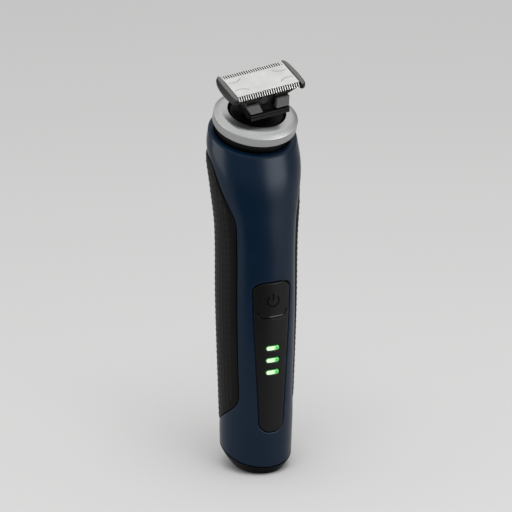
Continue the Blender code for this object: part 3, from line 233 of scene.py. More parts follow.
# Handle shell: one tube of satin dark blue plastic, with shallow recesses for the grip and the panel.
# It is moulded in one piece; its rounded top rim stands clear of the neck, and a soft crease runs
# beside the grip.
UNROLL = 17.2 * MM
HALF_TURN = pi * UNROLL
WELD = 0.000001
NECK_TILT = radians(23.5)
FOOT_SLOPE = 0.31
WALL = 2.2 * MM
FIT = 0.3 * MM
CORNER_STEPS = 13


def mm(*sizes):
    """Sizes given in millimetres, as an array in metres."""
    return np.array(sizes) * MM


neck_axis = Vector((0, -sin(NECK_TILT), cos(NECK_TILT)))
seat = Vector(mm(0, -1, 155.7))
rim = seat - neck_axis * 10.8 * MM
# Each row: centre height, half width, half depth and set-back, from the foot to the rim
STATIONS = np.vstack((mm(
    (7.5, 15.1, 15.6, 0.6),
    (37, 16.1, 16.1, 0.4),
    (73, 17.2, 16.6, 0.2),
    (104, 17.5, 16.7, 0),
    (121, 19, 17.3, 1.1),
    (135, 20.05, 18, 2.5),
), (rim.z, 18.7 * MM, 16.2 * MM, rim.y)))
FOOT_ROW = STATIONS[0, 0]
SEAM_ROW = FOOT_ROW + 1.1 * MM
RIM_ROW = STATIONS[-1, 0]
station_steps = np.vstack((STATIONS[1:], STATIONS[-1:])) - np.vstack((STATIONS[:1], STATIONS[:-1]))
STATION_SLOPES = station_steps[:, 1:] / station_steps[:, :1]


def section(up):
    """Half width, half depth and set-back of the handle at centre heights, by smooth cubics."""
    index = np.clip(np.searchsorted(STATIONS[:, 0], up) - 1, 0, len(STATIONS) - 2)
    low, high = STATIONS[index], STATIONS[index + 1]
    span = high[:, :1] - low[:, :1]
    t = (np.asarray(up)[:, None] - low[:, :1]) / span
    values = low[:, 1:] * (2 * t**3 - 3 * t**2 + 1) + high[:, 1:] * (3 * t**2 - 2 * t**3)
    values += STATION_SLOPES[index] * span * (t**3 - 2 * t**2 + t)
    values += STATION_SLOPES[index + 1] * span * (t**3 - t**2)
    return values.T


def skin(flat, inset):
    """Roll points of the flat sheet onto the handle: the way round from the front, and the centre height."""
    across, up = flat[:, 0], flat[:, 1]
    half_width, half_depth, setback = section(up)
    slope = FOOT_SLOPE + (tan(NECK_TILT) - FOOT_SLOPE) * (up - FOOT_ROW) / (RIM_ROW - FOOT_ROW)
    reach = -(half_depth - inset) * np.cos(across / UNROLL)
    side = (half_width - inset) * np.sin(across / UNROLL)
    return np.c_[side, setback + reach, up + slope * reach]


def unrolled(points, seen_from="front", rounds=12):
    """Flat points from an outline drawn as seen from the front (x, z) or from the side (y, z)."""
    points = np.asarray(points)
    up = points[:, 1].copy()
    for _ in range(rounds):
        half_width, half_depth, setback = section(up)
        if seen_from == "front":
            angle = np.arcsin(np.clip(points[:, 0] / half_width, -1, 1))
        else:
            angle = np.arccos(np.clip((setback - points[:, 0]) / half_depth, -1, 1))
        flat = np.c_[angle * UNROLL, up]
        up += points[:, 1] - skin(flat, 0)[:, 2]
    return flat


def spaced(points, step):
    """The same path with evenly spaced points."""
    points = np.asarray(points)
    lengths = np.r_[0, np.cumsum(np.hypot(*np.diff(points, axis=0).T))]
    places = np.linspace(0, lengths[-1], max(int(np.ceil(lengths[-1] / step)), 2) + 1)
    return np.column_stack([np.interp(places, lengths, column) for column in points.T])


def bent(corners):
    """An open path through corners (u, v, radius), with its inner corners rounded."""
    points = [corners[0][:2]]
    for before, (u, v, radius), after in zip(corners, corners[1:], corners[2:]):
        if not radius:
            points.append((u, v))
            continue
        here = Vector((u, v))
        back = (Vector(before[:2]) - here).normalized()
        ahead = (Vector(after[:2]) - here).normalized()
        half = back.angle(ahead) / 2
        middle = here + (back + ahead).normalized() * (radius / sin(half))
        start = here + back * (radius / tan(half)) - middle
        end = here + ahead * (radius / tan(half)) - middle
        sweep = pi - 2 * half
        for share in np.linspace(0, 1, CORNER_STEPS):
            spoke = start * sin((1 - share) * sweep) + end * sin(share * sweep)
            points.append(middle + spoke / sin(sweep))
    points.append(corners[-1][:2])
    return np.array([tuple(point) for point in points])


def moved(path, shift):
    """The path moved to its left, with both ends kept on the middle line that they stand on."""
    along = np.gradient(path, axis=0)
    along /= np.hypot(*along.T)[:, None]
    result = path + shift * np.c_[-along[:, 1], along[:, 0]]
    result[[0, -1], 0] = path[[0, -1], 0]
    return result


def beside(points, path, batch=1500):
    """Distance of points from a path, positive on its left."""
    start, span = path[:-1], np.diff(path, axis=0)
    result = []
    for chunk in np.array_split(np.asarray(points), max(len(points) // batch, 1)):
        offset = chunk[:, None] - start
        share = np.clip((offset * span).sum(2) / (span**2).sum(1), 0, 1)
        away = np.hypot(*(offset - share[..., None] * span).transpose(2, 0, 1))
        nearest = away.argmin(1)
        row = np.arange(len(chunk))
        turn = span[nearest, 0] * offset[row, nearest, 1] - span[nearest, 1] * offset[row, nearest, 0]
        result.append(np.copysign(away[row, nearest], turn))
    return np.concatenate(result)


def sheet(paths, spots, keep):
    """Triangles over the flat sheet: paths stay edges, spots are loose points, keep picks triangles."""
    points, edges = [], []
    for path in paths:
        edges += [(len(points) + step, len(points) + step + 1) for step in range(len(path) - 1)]
        points += list(path)
    points += list(spots)
    corners, _, faces, *_ = delaunay_2d_cdt([Vector(point) / MM for point in points], edges, [], 0, 0.00001)
    flat = np.array([tuple(corner) for corner in corners]) * MM
    faces = np.array([tuple(face) for face in faces])
    return flat, faces[keep(flat[faces].mean(axis=1))]


def strip(rows):
    """Points and quads of a band between rows of equally many points."""
    count = len(rows[0])
    firsts = [row * count + step for row in range(len(rows) - 1) for step in range(count - 1)]
    return np.vstack(rows), [(first, first + 1, first + count + 1, first + count) for first in firsts]


def mesh_of(name, bm, sharp=40, closed=True):
    """A mesh with smooth shading that keeps its sharp edges; a closed one gets its faces turned outwards."""
    if closed:
        bmesh.ops.recalc_face_normals(bm, faces=bm.faces)
    mesh = bpy.data.meshes.new(name)
    bm.to_mesh(mesh)
    bm.free()
    mesh.shade_smooth()
    mesh.set_sharp_from_angle(angle=radians(sharp))
    return mesh


def both_halves(name, *blocks):
    """One welded mesh from blocks of points and faces of the right half and their mirror image."""
    bm = bmesh.new()
    for side in (1, -1):
        for points, faces in blocks:
            corners = [bm.verts.new((side * x, y, z)) for x, y, z in points]
            for face in faces:
                bm.faces.new([corners[index] for index in face])
    bmesh.ops.remove_doubles(bm, verts=bm.verts, dist=WELD)
    return mesh_of(name, bm)


def show(name, mesh, material, body, node, place=None):
    """Show a piece that rides on a body and stands for a CAD node."""
    piece = placed(name, mesh)
    mesh.materials.append(material)
    if place is not None:
        piece.matrix_world = place
    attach(piece, body)
    if node:
        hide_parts(node)
    return piece


def coated(shader, tone, roughness, height, depth):
    """Feed a colour, a roughness and a relief, of a depth in millimetres, to a shader."""
    bump = height.node("Bump", {"Strength": 1, "Distance": depth * MM, "Height": height})
    for name, value in (("Base Color", tone), ("Roughness", roughness), ("Normal", bump)):
        value.feed(shader, name)


def moulded(name, colour, roughness, grain, depth, specular=0.5, shades=(0.85, 1.15)):
    """Moulded plastic: faint clouds of colour, and a fine grain from the mould in gloss and relief."""
    material, shader, place = finish(name, colour, roughness, specular=specular)
    cloud = speckle(place, 70)
    fine = speckle(place, grain)
    tone = mottled(cloud, colour, *shades)
    coated(shader, tone, roughness - 0.10 + 0.12 * fine + 0.08 * cloud, fine, depth)
    return material


# Outlines of the recesses: the grip as seen from the side, and the panel as seen from the front.
# They become flat paths with the piece on their left.
PATH_STEP, PANEL_SEAM, GRIP_BACK = mm(0.7, 0.45, 36)
GRIP_HEEL = mm(-9.3, 31)
GRIP_FALL = (31 - 13) / (18 + 9.3)
grip_corners = (
    (GRIP_BACK, 145 * MM, 0),
    *mm((1.4, 136.3, 13), (-10, 112, 18)),
    (*GRIP_HEEL, 9 * MM),
    (GRIP_BACK, GRIP_HEEL[1] - GRIP_FALL * (GRIP_BACK - GRIP_HEEL[0]), 0),
)
grip_line = unrolled(spaced(bent(grip_corners), PATH_STEP / 2), "side")
grip_line = grip_line[grip_line[:, 0] < HALF_TURN - 0.5 * MM]
grip_line = np.vstack(((HALF_TURN, grip_line[0, 1]), grip_line, (HALF_TURN, grip_line[-1, 1])))
grip_path = spaced(grip_line, PATH_STEP)
panel_corners = mm((0, 19.7, 0), (5.3, 19.7, 4.5), (8.75, 84.5, 3.5), (4.4, 85.75, 8), (0, 85.85, 0))
panel_path = spaced(unrolled(bent(panel_corners)), PATH_STEP)
grip_room = moved(grip_path, -FIT)
panel_room = moved(panel_path, -PANEL_SEAM)

SHELL_COLUMNS = 48
SHELL_ROW, EDGE_CLEAR, RIM_ROUND = mm(1.7, 1, 0.9)
CREASE_WIDTH, CREASE_DEPTH = mm(4.5, 0.6)
CREASE_ROWS = mm(55, 100)
CREASE_LEAST = 0.3
CREASE_SOFT = 0.08
LIP = mm(-0.45, -0.2, -0.07, 0, 0.03)
LIP_FALL = mm(0, 0.035, 0.13, 0.30)
GRIP_RECESS, PANEL_RECESS = mm(1.35, 1.5)


def crease(flat):
    """How far the shell sinks towards the grip's edge: most beside the upper grip, little at its foot."""
    share = np.clip(1 + beside(flat, grip_room) / CREASE_WIDTH, 0, 1)
    depth = CREASE_DEPTH * np.interp(flat[:, 1], CREASE_ROWS, (CREASE_LEAST, 1))
    return depth * share**2 / (share + CREASE_SOFT) * (1 + CREASE_SOFT)


def shell_inset(flat):
    """The recesses with their soft lips, and the crease outside them."""
    sink = np.interp(beside(flat, grip_room), LIP, np.r_[LIP_FALL, GRIP_RECESS])
    sink = np.maximum(sink, np.interp(beside(flat, panel_room), LIP, np.r_[LIP_FALL, PANEL_RECESS]))
    return np.maximum(sink, np.minimum(crease(flat) + sink, GRIP_RECESS))


shell_columns = np.linspace(0, HALF_TURN, SHELL_COLUMNS + 1)
shell_low, shell_high = SEAM_ROW + FIT, RIM_ROW - RIM_ROUND
shell_rows = np.linspace(shell_low, shell_high, int((shell_high - shell_low) / SHELL_ROW) + 1)
shell_grid = np.array([(across, up) for up in shell_rows for across in shell_columns])
edge_distance = np.minimum(abs(beside(shell_grid, grip_room)), abs(beside(shell_grid, panel_room)))
end_row = (shell_grid[:, 1] == shell_low) | (shell_grid[:, 1] == shell_high)
shell_spots = shell_grid[(edge_distance >= EDGE_CLEAR) | end_row]
shell_paths = [moved(path, shift) for path in (grip_room, panel_room) for shift in LIP]
shell_flat, shell_faces = sheet(shell_paths, shell_spots, lambda centre: centre[:, 0] > 0)


def shell_row(up, inset):
    return skin(np.c_[shell_columns, np.full(SHELL_COLUMNS + 1, up)], inset)


rim_rows = [shell_row(shell_high + RIM_ROUND * sin(angle), RIM_ROUND * (1 - cos(angle)))
            for angle in np.linspace(0, pi / 2, 6)]
inner_rows = [shell_row(up, WALL) for up in np.linspace(RIM_ROW, SEAM_ROW, 12)]
foot_rows = [shell_row(SEAM_ROW, FIT), shell_row(SEAM_ROW + 0.1 * MM, 0.1 * MM), shell_row(shell_low, 0)]
shell_mesh = both_halves("body_shell_skin", (skin(shell_flat, shell_inset(shell_flat)), shell_faces),
                         strip(rim_rows + inner_rows + foot_rows))
NAVY = (0.0009, 0.012, 0.0315)
navy_plastic = moulded("navy_plastic", NAVY, 0.31, 2400, 0.004, 0.19)
show("shell", shell_mesh, navy_plastic, "handle", "body_shell")

# Rear grip: a black rubber wrap moulded into the shell's recess, with rows of small raised dots
# set in a diamond pattern that stop short of its smooth rounded border. The tops of the dots are
# painted paler as a painted highlight.
GRIP_BLACK = (0.0036, 0.0037, 0.0035)
DOT_PAINTED_HIGHLIGHT = (0.019, 0.019, 0.018)
GRIP_FLOOR, GRIP_BLEND = mm(1.05, 1.4)
GRIP_EDGE = mm(0, 0.03, 0.12, 0.3, 0.6, 1.1)
GRIP_SINK = mm(0.7, 0.45, 0.28, 0.12, 0.04, 0)
DOT_ACROSS, DOT_UP, DOT_BORDER = mm(2.3, 2.5, 1.7)
DOT_RADIUS, DOT_HEIGHT = mm(0.52, 0.13)
DOT_SIDES = 6
MID_RADIUS = 0.55
MID_HEIGHT = 0.75

dots = np.array([(HALF_TURN - column * DOT_ACROSS, (step + 0.5 * (column % 2)) * DOT_UP)
                 for column in range(int(HALF_TURN / DOT_ACROSS) + 1)
                 for step in range(int(RIM_ROW / DOT_UP) + 1)])
dots = dots[beside(dots, grip_path) > DOT_BORDER]
dot_points, dot_heights = [dots], [np.full(len(dots), DOT_HEIGHT)]
for ring_share, ring_height in ((MID_RADIUS, MID_HEIGHT), (1, 0)):
    for side in range(DOT_SIDES):
        angle = 2 * pi * side / DOT_SIDES
        around = dots + DOT_RADIUS * ring_share * np.array((cos(angle), sin(angle)))
        inside = around[:, 0] <= HALF_TURN + WELD
        dot_points.append(np.minimum(around[inside], (HALF_TURN, RIM_ROW)))
        dot_heights.append(np.full(inside.sum(), ring_height * DOT_HEIGHT))
dot_points, dot_heights = np.vstack(dot_points), np.concatenate(dot_heights)
dot_lookup = {(round(across / WELD), round(up / WELD)): height
              for (across, up), height in zip(dot_points, dot_heights)}


def grip_inset(flat):
    """The rounded border and the end of the crease, with the dots standing up from them."""
    raised = [dot_lookup.get((round(across / WELD), round(up / WELD)), 0) for across, up in flat]
    inside = beside(flat, grip_path)
    softened = np.clip(1 - inside / GRIP_BLEND, 0, 1)
    return np.interp(inside, GRIP_EDGE, GRIP_SINK) + softened * crease(flat) - np.array(raised)


def on_grip(centre):
    return beside(centre, grip_path) > 0


def painted(material, spots, colour):
    """Paint spots of another colour over the colours that a material has."""
    shader = material.node_tree.nodes["Principled BSDF"]
    tone = Socket(material.node_tree, shader.inputs["Base Color"].links[0].from_socket)
    blended(spots, tone, colour).feed(shader, "Base Color")


grip_middle = np.array([(HALF_TURN, up) for up in np.arange(20 * MM, 140 * MM, DOT_UP / 2)])
grip_middle = grip_middle[beside(grip_middle, grip_path) > DOT_BORDER - DOT_RADIUS]
grip_flat, grip_faces = sheet([moved(grip_path, shift) for shift in GRIP_EDGE],
                              np.vstack((dot_points, grip_middle)), on_grip)
coarse = np.array([(across, up) for across in np.linspace(0, HALF_TURN, 14)
                   for up in np.linspace(10 * MM, 145 * MM, 28)])
coarse = coarse[beside(coarse, grip_path) > EDGE_CLEAR]
floor_flat, floor_faces = sheet([grip_path], coarse, on_grip)
grip_mesh = both_halves(
    "rear_grip_wrap",
    (skin(grip_flat, grip_inset(grip_flat)), grip_faces),
    (skin(floor_flat, GRIP_FLOOR), floor_faces),
    strip([skin(grip_path, grip_inset(grip_path)), skin(grip_path, GRIP_FLOOR)]),
)
soft_grip = moulded("soft_grip", GRIP_BLACK, 0.5, 1500, 0.02, 0.11, (0.7, 1.05))
# The tops of the dots are painted paler: a painted highlight, not wear.
dot_top_highlight = Socket(soft_grip.node_tree).node("NewGeometry", output="Pointiness").between(0.51, 0.58)
painted(soft_grip, dot_top_highlight, DOT_PAINTED_HIGHLIGHT)
show("grip", grip_mesh, soft_grip, "handle", "rear_grip")

# Front panel: a black inlay let into the front of the shell, under the button and around the lights.
# It is a thin moulding with rounded edges, glued into its recess; its upper end follows the key's outline.
PANEL_BLACK = (0.003, 0.003, 0.003)
PANEL_THICKNESS, CRISP_REACH = mm(1.2, 0.9)
PANEL_EDGE = mm(0, 0.04, 0.14, 0.35)
PANEL_SINK = mm(0.42, 0.17, 0.05, 0)
CRISP_SHARE = 0.3
KEY_GAP, KEY_ROOM, LIP_BLEND = mm(0.46, 0.5, 1.8)
KEY_ROOM_ROWS = mm(72, 73.3)
LIP_END = mm((7.5, 73.65))
LIP_LEAST = 0.12
LIGHT_HEIGHTS = mm(46.4, 51.75, 57.1)
LIGHT_HALVES = mm(2.95, 0.94)
LIGHT_GAP = 0.12 * MM
LIGHT_ROUND = 0.999
key_corners = mm((0, 70.65, 0), (6.3, 70.65, 2.4), (6.3, 73.48, 0.3), (7.96, 73.78, 0.25),
                 (8.54, 84.35, 3.35), (4.35, 85.6, 7.85), (0, 85.7, 0))
key_path = spaced(unrolled(bent(key_corners)), 0.3 * MM)
KEY_HALF, KEY_FOOT = key_corners[1, :2]
inlay_side, inlay_end = KEY_HALF + KEY_GAP, KEY_FOOT - KEY_GAP
inlay_corners = (
    *panel_corners[:2],
    mm(8.165, 73.7, 0.1),
    (inlay_side, 73.45 * MM, 0.5 * MM),
    (inlay_side, inlay_end, 2.8 * MM),
    (0, inlay_end, 0),
)
inlay_path = spaced(unrolled(bent(inlay_corners)), 0.35 * MM)


def light_path(middle, margin):
    """Half of a pill-shaped outline around a light."""
    end, half = LIGHT_HALVES + margin
    low, high, corner = middle - half, middle + half, LIGHT_ROUND * half
    corners = ((0, low, 0), (end, low, corner), (end, high, corner), (0, high, 0))
    return spaced(unrolled(bent(corners)), 0.25 * MM)


def curved_plate(name, border, holes, edge, inset, back, step, extra=()):
    """A curved plate: top with rounded edges, flat back, and walls round border and holes."""
    def keep(centre):
        kept = beside(centre, border) > 0
        for hole in holes:
            kept &= beside(centre, hole) < 0
        return kept

    low, high = border.min(axis=0), border.max(axis=0)
    grid = np.array([(across, up) for across in np.arange(0, high[0] + step, step)
                     for up in np.arange(low[1], high[1], step)])
    clear = beside(grid, border) > edge[-1] + step / 2
    for line in (*holes, *extra):
        clear &= abs(beside(grid, line)) > edge[-1] + step / 3
    rings = [moved(border, shift) for shift in edge]
    rings += [moved(hole, -shift) for hole in holes for shift in edge]
    top_flat, top_faces = sheet(rings + list(extra), grid[clear], keep)
    back_flat, back_faces = sheet([border, *holes], grid[clear][::2], keep)
    walls = [strip([skin(line, inset(line)), back(line)]) for line in (border, *holes)]
    top = skin(top_flat, inset(top_flat))
    return both_halves(name, (top, top_faces), (back(back_flat), back_faces), *walls)


light_holes = [light_path(middle, LIGHT_GAP) for middle in LIGHT_HEIGHTS]


def waist_share(flat):
    """Nearly nothing at the ends of the key's lip, where it runs into the panel, and 1 away from them."""
    return np.clip(np.hypot(*(flat - unrolled(LIP_END)).T) / LIP_BLEND, LIP_LEAST, 1)


def inlay_inset(flat):
    """The rounded edges, crisper beside the key."""
    inside = beside(flat, inlay_path)
    for hole in light_holes:
        inside = np.minimum(inside, -beside(flat, hole))
    crisp = np.where(beside(flat, key_path) > -CRISP_REACH, CRISP_SHARE, 1)
    return np.interp(inside, PANEL_EDGE, PANEL_SINK) * waist_share(flat) * crisp


def inlay_back(flat):
    """The panel's back, which falls away beside the key so that the key has room to go in."""
    fall = np.interp(skin(flat, 0)[:, 2], KEY_ROOM_ROWS, (0, KEY_ROOM))
    return skin(flat - np.c_[np.zeros(len(flat)), fall], PANEL_THICKNESS)


inlay_mesh = curved_plate("front_panel_inlay", inlay_path, light_holes, PANEL_EDGE, inlay_inset, inlay_back,
                          1.1 * MM)
black_gloss = moulded("black_gloss", PANEL_BLACK, 0.40, 3200, 0.002, 0.19)
show("panel", inlay_mesh, black_gloss, "handle", "front_panel")

# Power button: a black moulded key that fills the top of the panel. Its lower end stands proud as a lip
# for the thumb, with a painted highlight on it and along the key's lower convex edges; a power sign is sunk
# into its face.
KEY_PAINTED_HIGHLIGHT = (0.125, 0.125, 0.125)
KEY_PROUD, KEY_SWELL, KEY_BACK = mm(0.5, 0.15, 0.45)
KEY_EDGE = mm(0, 0.05, 0.15, 0.35, 0.6, 0.9, 1.2, 1.5)
KEY_SINK = mm(0.35, 0.16, 0.06, 0.01, 0, 0, 0, 0)
RIDGE_REACH = mm(0.45, 1.4)
RIDGE_ROWS = mm(72.4, 75.6)
SIGN_HEIGHT, SIGN_RADIUS, SIGN_LINE, SIGN_DEPTH = mm(78.05, 2.55, 0.62, 0.3)
SIGN_GAP = radians(46)
SIGN_BAR = mm(0.1, 3.1)
SIGN_EDGE = mm(-0.05, 0.05)
SIGN_BRIM = (0.4 * SIGN_LINE, 0.6 * SIGN_LINE)
THUMB_LEFT = mm(-2.6, -0.6)
THUMB_RIGHT = mm(4.6, 5.8)
THUMB_TOP = KEY_FOOT + mm(0.45, 0.85)
EDGE_HIGHLIGHT_TOP = KEY_FOOT + mm(1, 2)


def sign_paths():
    """Half of the ring with its gap at the top, and half of the bar that stands in the gap."""
    outer, inner = SIGN_RADIUS + SIGN_LINE / 2, SIGN_RADIUS - SIGN_LINE / 2
    turns = np.linspace(-pi / 2, pi / 2 - SIGN_GAP, 28)
    ring = [(outer * cos(turn), SIGN_HEIGHT + outer * sin(turn)) for turn in turns]
    ring += [(inner * cos(turn), SIGN_HEIGHT + inner * sin(turn)) for turn in reversed(turns)]
    ring[0], ring[-1] = (0, SIGN_HEIGHT - outer), (0, SIGN_HEIGHT - inner)
    low, high = [SIGN_HEIGHT + end for end in SIGN_BAR]
    bar = [(0, low), (SIGN_LINE / 2, low), (SIGN_LINE / 2, high), (0, high)]
    return [unrolled(ring), spaced(unrolled(bar), SIGN_LINE / 2)]


signs = sign_paths()


def key_inset(flat):
    """The rounded edges, less the lip that stands proud, and the sunk sign."""
    inside = beside(flat, key_path)
    ridge = np.interp(inside, RIDGE_REACH, (1, 0))
    proud = KEY_SWELL + KEY_PROUD * ridge**2 * (3 - 2 * ridge)
    proud *= np.interp(flat[:, 1], RIDGE_ROWS, (1, 0))
    sink = (np.interp(inside, KEY_EDGE, KEY_SINK) - proud) * waist_share(flat)
    for sign in signs:
        sink += np.interp(beside(flat, sign), SIGN_EDGE, (0, SIGN_DEPTH))
    return sink


sign_walls = [moved(sign, shift) for sign in signs for shift in SIGN_EDGE]
key_mesh = curved_plate("power_key", key_path, [], KEY_EDGE, key_inset, lambda flat: skin(flat, KEY_BACK),
                        0.8 * MM, sign_walls)
key_black = moulded("key_black", PANEL_BLACK, 0.40, 3200, 0.002, 0.17)
key_at = place_on(key_black)
key_x, _, key_z = key_at.axes()
sign_up = key_z - SIGN_HEIGHT
sign_ring = abs(key_x.distance(sign_up) - SIGN_RADIUS).below(*SIGN_BRIM)
sign_ring = sign_ring * (sign_up - SIGN_RADIUS * cos(SIGN_GAP)).below(0, SIGN_EDGE[1])
sign_low, sign_high = [end + SIGN_EDGE for end in SIGN_BAR]
sign_bar = abs(key_x).below(*SIGN_BRIM) * sign_up.between(*sign_low) * sign_up.below(*sign_high)
sign_paint = sign_ring.math("MAXIMUM", sign_bar)
key_edges = key_at.node("NewGeometry", output="Pointiness").between(0.53, 0.6)
# The lip and the lower convex edges are painted paler: a painted highlight, not wear.
lip_highlight = key_x.between(*THUMB_LEFT) * key_x.below(*THUMB_RIGHT) * key_z.below(*THUMB_TOP)
key_painted_highlight = lip_highlight.math("MAXIMUM", 0.4 * key_edges * key_z.below(*EDGE_HIGHLIGHT_TOP))
painted(key_black, key_painted_highlight, KEY_PAINTED_HIGHLIGHT)
painted(key_black, sign_paint, shaded(PANEL_BLACK, 0.08))
key_gloss = 0.34 + 0.12 * speckle(key_at, 70) + 0.5 * sign_paint - 0.2 * key_painted_highlight
key_gloss.feed(key_black.node_tree.nodes["Principled BSDF"], "Roughness")
show("button", key_mesh, key_black, "button", "power_button")

# Charge lights: three pill-shaped windows of clear plastic, lit green from behind, let into the panel.
# Each one is brightest over its chip on the left, and greener towards its rim and its far end.
LENS_EDGE = mm(0, 0.03, 0.12, 0.4, 0.8)
LENS_SINK = mm(0.2, 0.05, -0.03, -0.1, -0.14)
LENS_GREEN = (0.05, 0.35, 0.06)
GLOW_PALE = (0.80, 1, 0.70)
GLOW_GREEN = (0.13, 0.54, 0.13)
GLOW_RIM = (0.02, 0.24, 0.03)
GLOW_SPOT = (0.03, 0.19, 0.03)
GREEN_RISE = mm(-0.2, 1.5)
LENS_THICKNESS, SPOT_ACROSS, SPOT_RADIUS = mm(1.1, 1.75, 0.85)


def light_material(name, middle):
    """Glow from the light's own outline: pale on the left, green towards the rim and the far end."""
    material, shader, place = finish(name, LENS_GREEN, 0.3)
    across, _, height = place.axes()
    up = height - middle
    width, radius = LIGHT_HALVES
    end = (abs(across) - (width - radius)).math("MAXIMUM", 0)
    rim_share = end.distance(up).between(0.66 * radius, 1.05 * radius)
    spot = (across - SPOT_ACROSS).distance(up).below(0.35 * SPOT_RADIUS, SPOT_RADIUS)
    ripple = 0.85 + 0.3 * speckle(place, 900)
    glow = blended(across.between(*GREEN_RISE), GLOW_PALE, GLOW_GREEN)
    blended(rim_share, blended(spot * ripple, glow, GLOW_SPOT), GLOW_RIM).feed(shader, "Emission Color")
    shader.inputs["Emission Strength"].default_value = 1
    return material


for number, middle in enumerate(LIGHT_HEIGHTS, start=1):
    lens_path = light_path(middle, 0)
    lens_mesh = curved_plate(
        f"light_window_{number}", lens_path, [], LENS_EDGE,
        lambda flat, path=lens_path: np.interp(beside(flat, path), LENS_EDGE, LENS_SINK),
        lambda flat: skin(flat, LENS_THICKNESS), 0.4 * MM)
    lens_glow = light_material(f"green_light_{number}", middle)
    show(f"light_{number}", lens_mesh, lens_glow, "handle", f"led_lens_{number}")

# Foot cap: a black dished moulding that closes the handle and stands on a small oval face.
# It plugs into the shell, and holds the charging inlet and the wells of its two screws.
BLACK = (0.0022, 0.0023, 0.0027)
CONTACT_HALF_WIDTH, CONTACT_MIDDLE, CONTACT_REACH = mm(8.5, -2, 10.4)
HULL_POWER = 1.6
HULL_ROWS = 16
HULL_END = 0.985
PLUG_RISE, CUT_ROOM = mm(2.9, 30)
INLET_LOW = mm(-4.2, 1.3)
INLET_HIGH = mm(4.2, 6.7)
SCREW_PLACES = {"left": mm(-6, -4.5), "right": mm(6, -4.5)}
SCREW_WELL, SCREW_WELL_TOP, SCREW_BORE = mm(2.1, 2.6, 1.3)


def block(low, high):
    """A box between two corners."""
    bm = bmesh.new()
    bmesh.ops.create_cube(bm, size=1.0)
    low, high = Vector(low), Vector(high)
    for corner in bm.verts:
        corner.co = [low[axis] + (high[axis] - low[axis]) * (corner.co[axis] + 0.5) for axis in range(3)]
    return mesh_of("block", bm)


def rod(start, end, radius, sides=48):
    """A round bar between two points."""
    start, end = Vector(start), Vector(end)
    bm = bmesh.new()
    bmesh.ops.create_cone(bm, cap_ends=True, segments=sides, radius1=radius, radius2=radius,
                          depth=(end - start).length)
    turn = (end - start).to_track_quat("Z", "Y").to_matrix().to_4x4()
    bmesh.ops.transform(bm, matrix=Matrix.Translation((start + end) / 2) @ turn, verts=bm.verts)
    return mesh_of("rod", bm)


def carved(name, mesh, cuts, adds=()):
    """The mesh with other meshes added to it and then cut from it."""
    work = placed(name, mesh)
    tools = []
    for operation, shapes in (("UNION", adds), ("DIFFERENCE", cuts)):
        for shape in shapes:
            tool = placed(name + "_tool", shape)
            modifier = work.modifiers.new(operation, "BOOLEAN")
            modifier.operation = operation
            modifier.object = tool
            tools.append(tool)
    result = bpy.data.meshes.new_from_object(work.evaluated_get(bpy.context.evaluated_depsgraph_get()))
    for item in (work, *tools):
        bpy.data.objects.remove(item)
    bm = bmesh.new()
    bm.from_mesh(result)
    return mesh_of(name, bm)


foot_turns = shell_columns / UNROLL
contact = np.c_[CONTACT_HALF_WIDTH * np.sin(foot_turns),
                CONTACT_MIDDLE - CONTACT_REACH * np.cos(foot_turns), np.zeros(SHELL_COLUMNS + 1)]
seam = shell_row(SEAM_ROW, 0) - (0, 0, FIT)
hull_rows = []
for share in np.linspace(0, HULL_END, HULL_ROWS):
    hull_row = contact + (seam - contact) * share
    hull_row[:, 2] = seam[:, 2] * share**HULL_POWER
    hull_rows.append(hull_row)
plug_foot = shell_row(SEAM_ROW, WALL + 2 * FIT) - (0, 0, FIT)
plug_top = plug_foot + (0, 0, PLUG_RISE)
hull_rows += [seam - (0, 0, 0.05 * MM), shell_row(SEAM_ROW, 0.12 * MM) - (0, 0, FIT), plug_foot,
              plug_top]
disc = tuple(range(SHELL_COLUMNS + 1))
cap_mesh = both_halves("foot_cap", strip(hull_rows), (contact, [disc]), (plug_top, [disc]))
cap_cuts = [block((*INLET_LOW, -CUT_ROOM), (*INLET_HIGH, CUT_ROOM))]
for place in SCREW_PLACES.values():
    cap_cuts.append(rod((*place, -CUT_ROOM), (*place, SCREW_WELL_TOP), SCREW_WELL))
    cap_cuts.append(rod((*place, 0), (*place, CUT_ROOM), SCREW_BORE))
black_satin = moulded("black_satin", BLACK, 0.4, 2600, 0.004, 0.06)
show("foot", carved("foot_cap", cap_mesh, cap_cuts), black_satin, "handle", "base_cap")

# Screws and charging contacts in the foot: zinc-plated cross-head screws that hold the cap, and two
# nickel-plated pins with rounded tips, pressed into the inlet's insulator.
SCREW_RADIUS, SCREW_HEAD = mm(1, 1.8)
SCREW_LOW, SCREW_HEAD_TOP, SCREW_TIP = mm(0.9, 2.3, 20.8)
CROSS_DEPTH, CROSS_HALF, CROSS_LINE = mm(0.8, 1.05, 0.22)
PIN_PLACES = {"left": mm(-1.9, 4), "right": mm(1.9, 4)}
PIN_RADIUS, PIN_LOW, PIN_HIGH = mm(0.6, 4.8, 16.5)
SOFT_CORNER = 0.1 * MM


def lofted(name, rows, ring=False):
    """A solid over rows of equally many points, closed at both ends or into a ring."""
    bm = bmesh.new()
    rows = [[bm.verts.new(point) for point in row] for row in rows]
    for near, far in zip(rows, rows[1:] + rows[:1] if ring else rows[1:]):
        for index in range(len(near)):
            bm.faces.new((near[index - 1], near[index], far[index], far[index - 1]))
    if ring:
        bmesh.ops.remove_doubles(bm, verts=bm.verts, dist=WELD)
    else:
        bm.faces.new(rows[0])
        bm.faces.new(rows[-1])
    return mesh_of(name, bm)


def turned(name, corners, steps=144, depth=1, middle=(0, 0)):
    """A turned piece from a closed outline of corners (radius, height, rounding); depth makes it oval."""
    outline = bent((corners[-1], *corners, corners[0]))[1:-1]
    turns = [2 * pi * step / steps for step in range(steps)]
    return lofted(name, [[(middle[0] + radius * sin(turn), middle[1] - depth * radius * cos(turn), height)
                          for radius, height in outline] for turn in turns], ring=True)


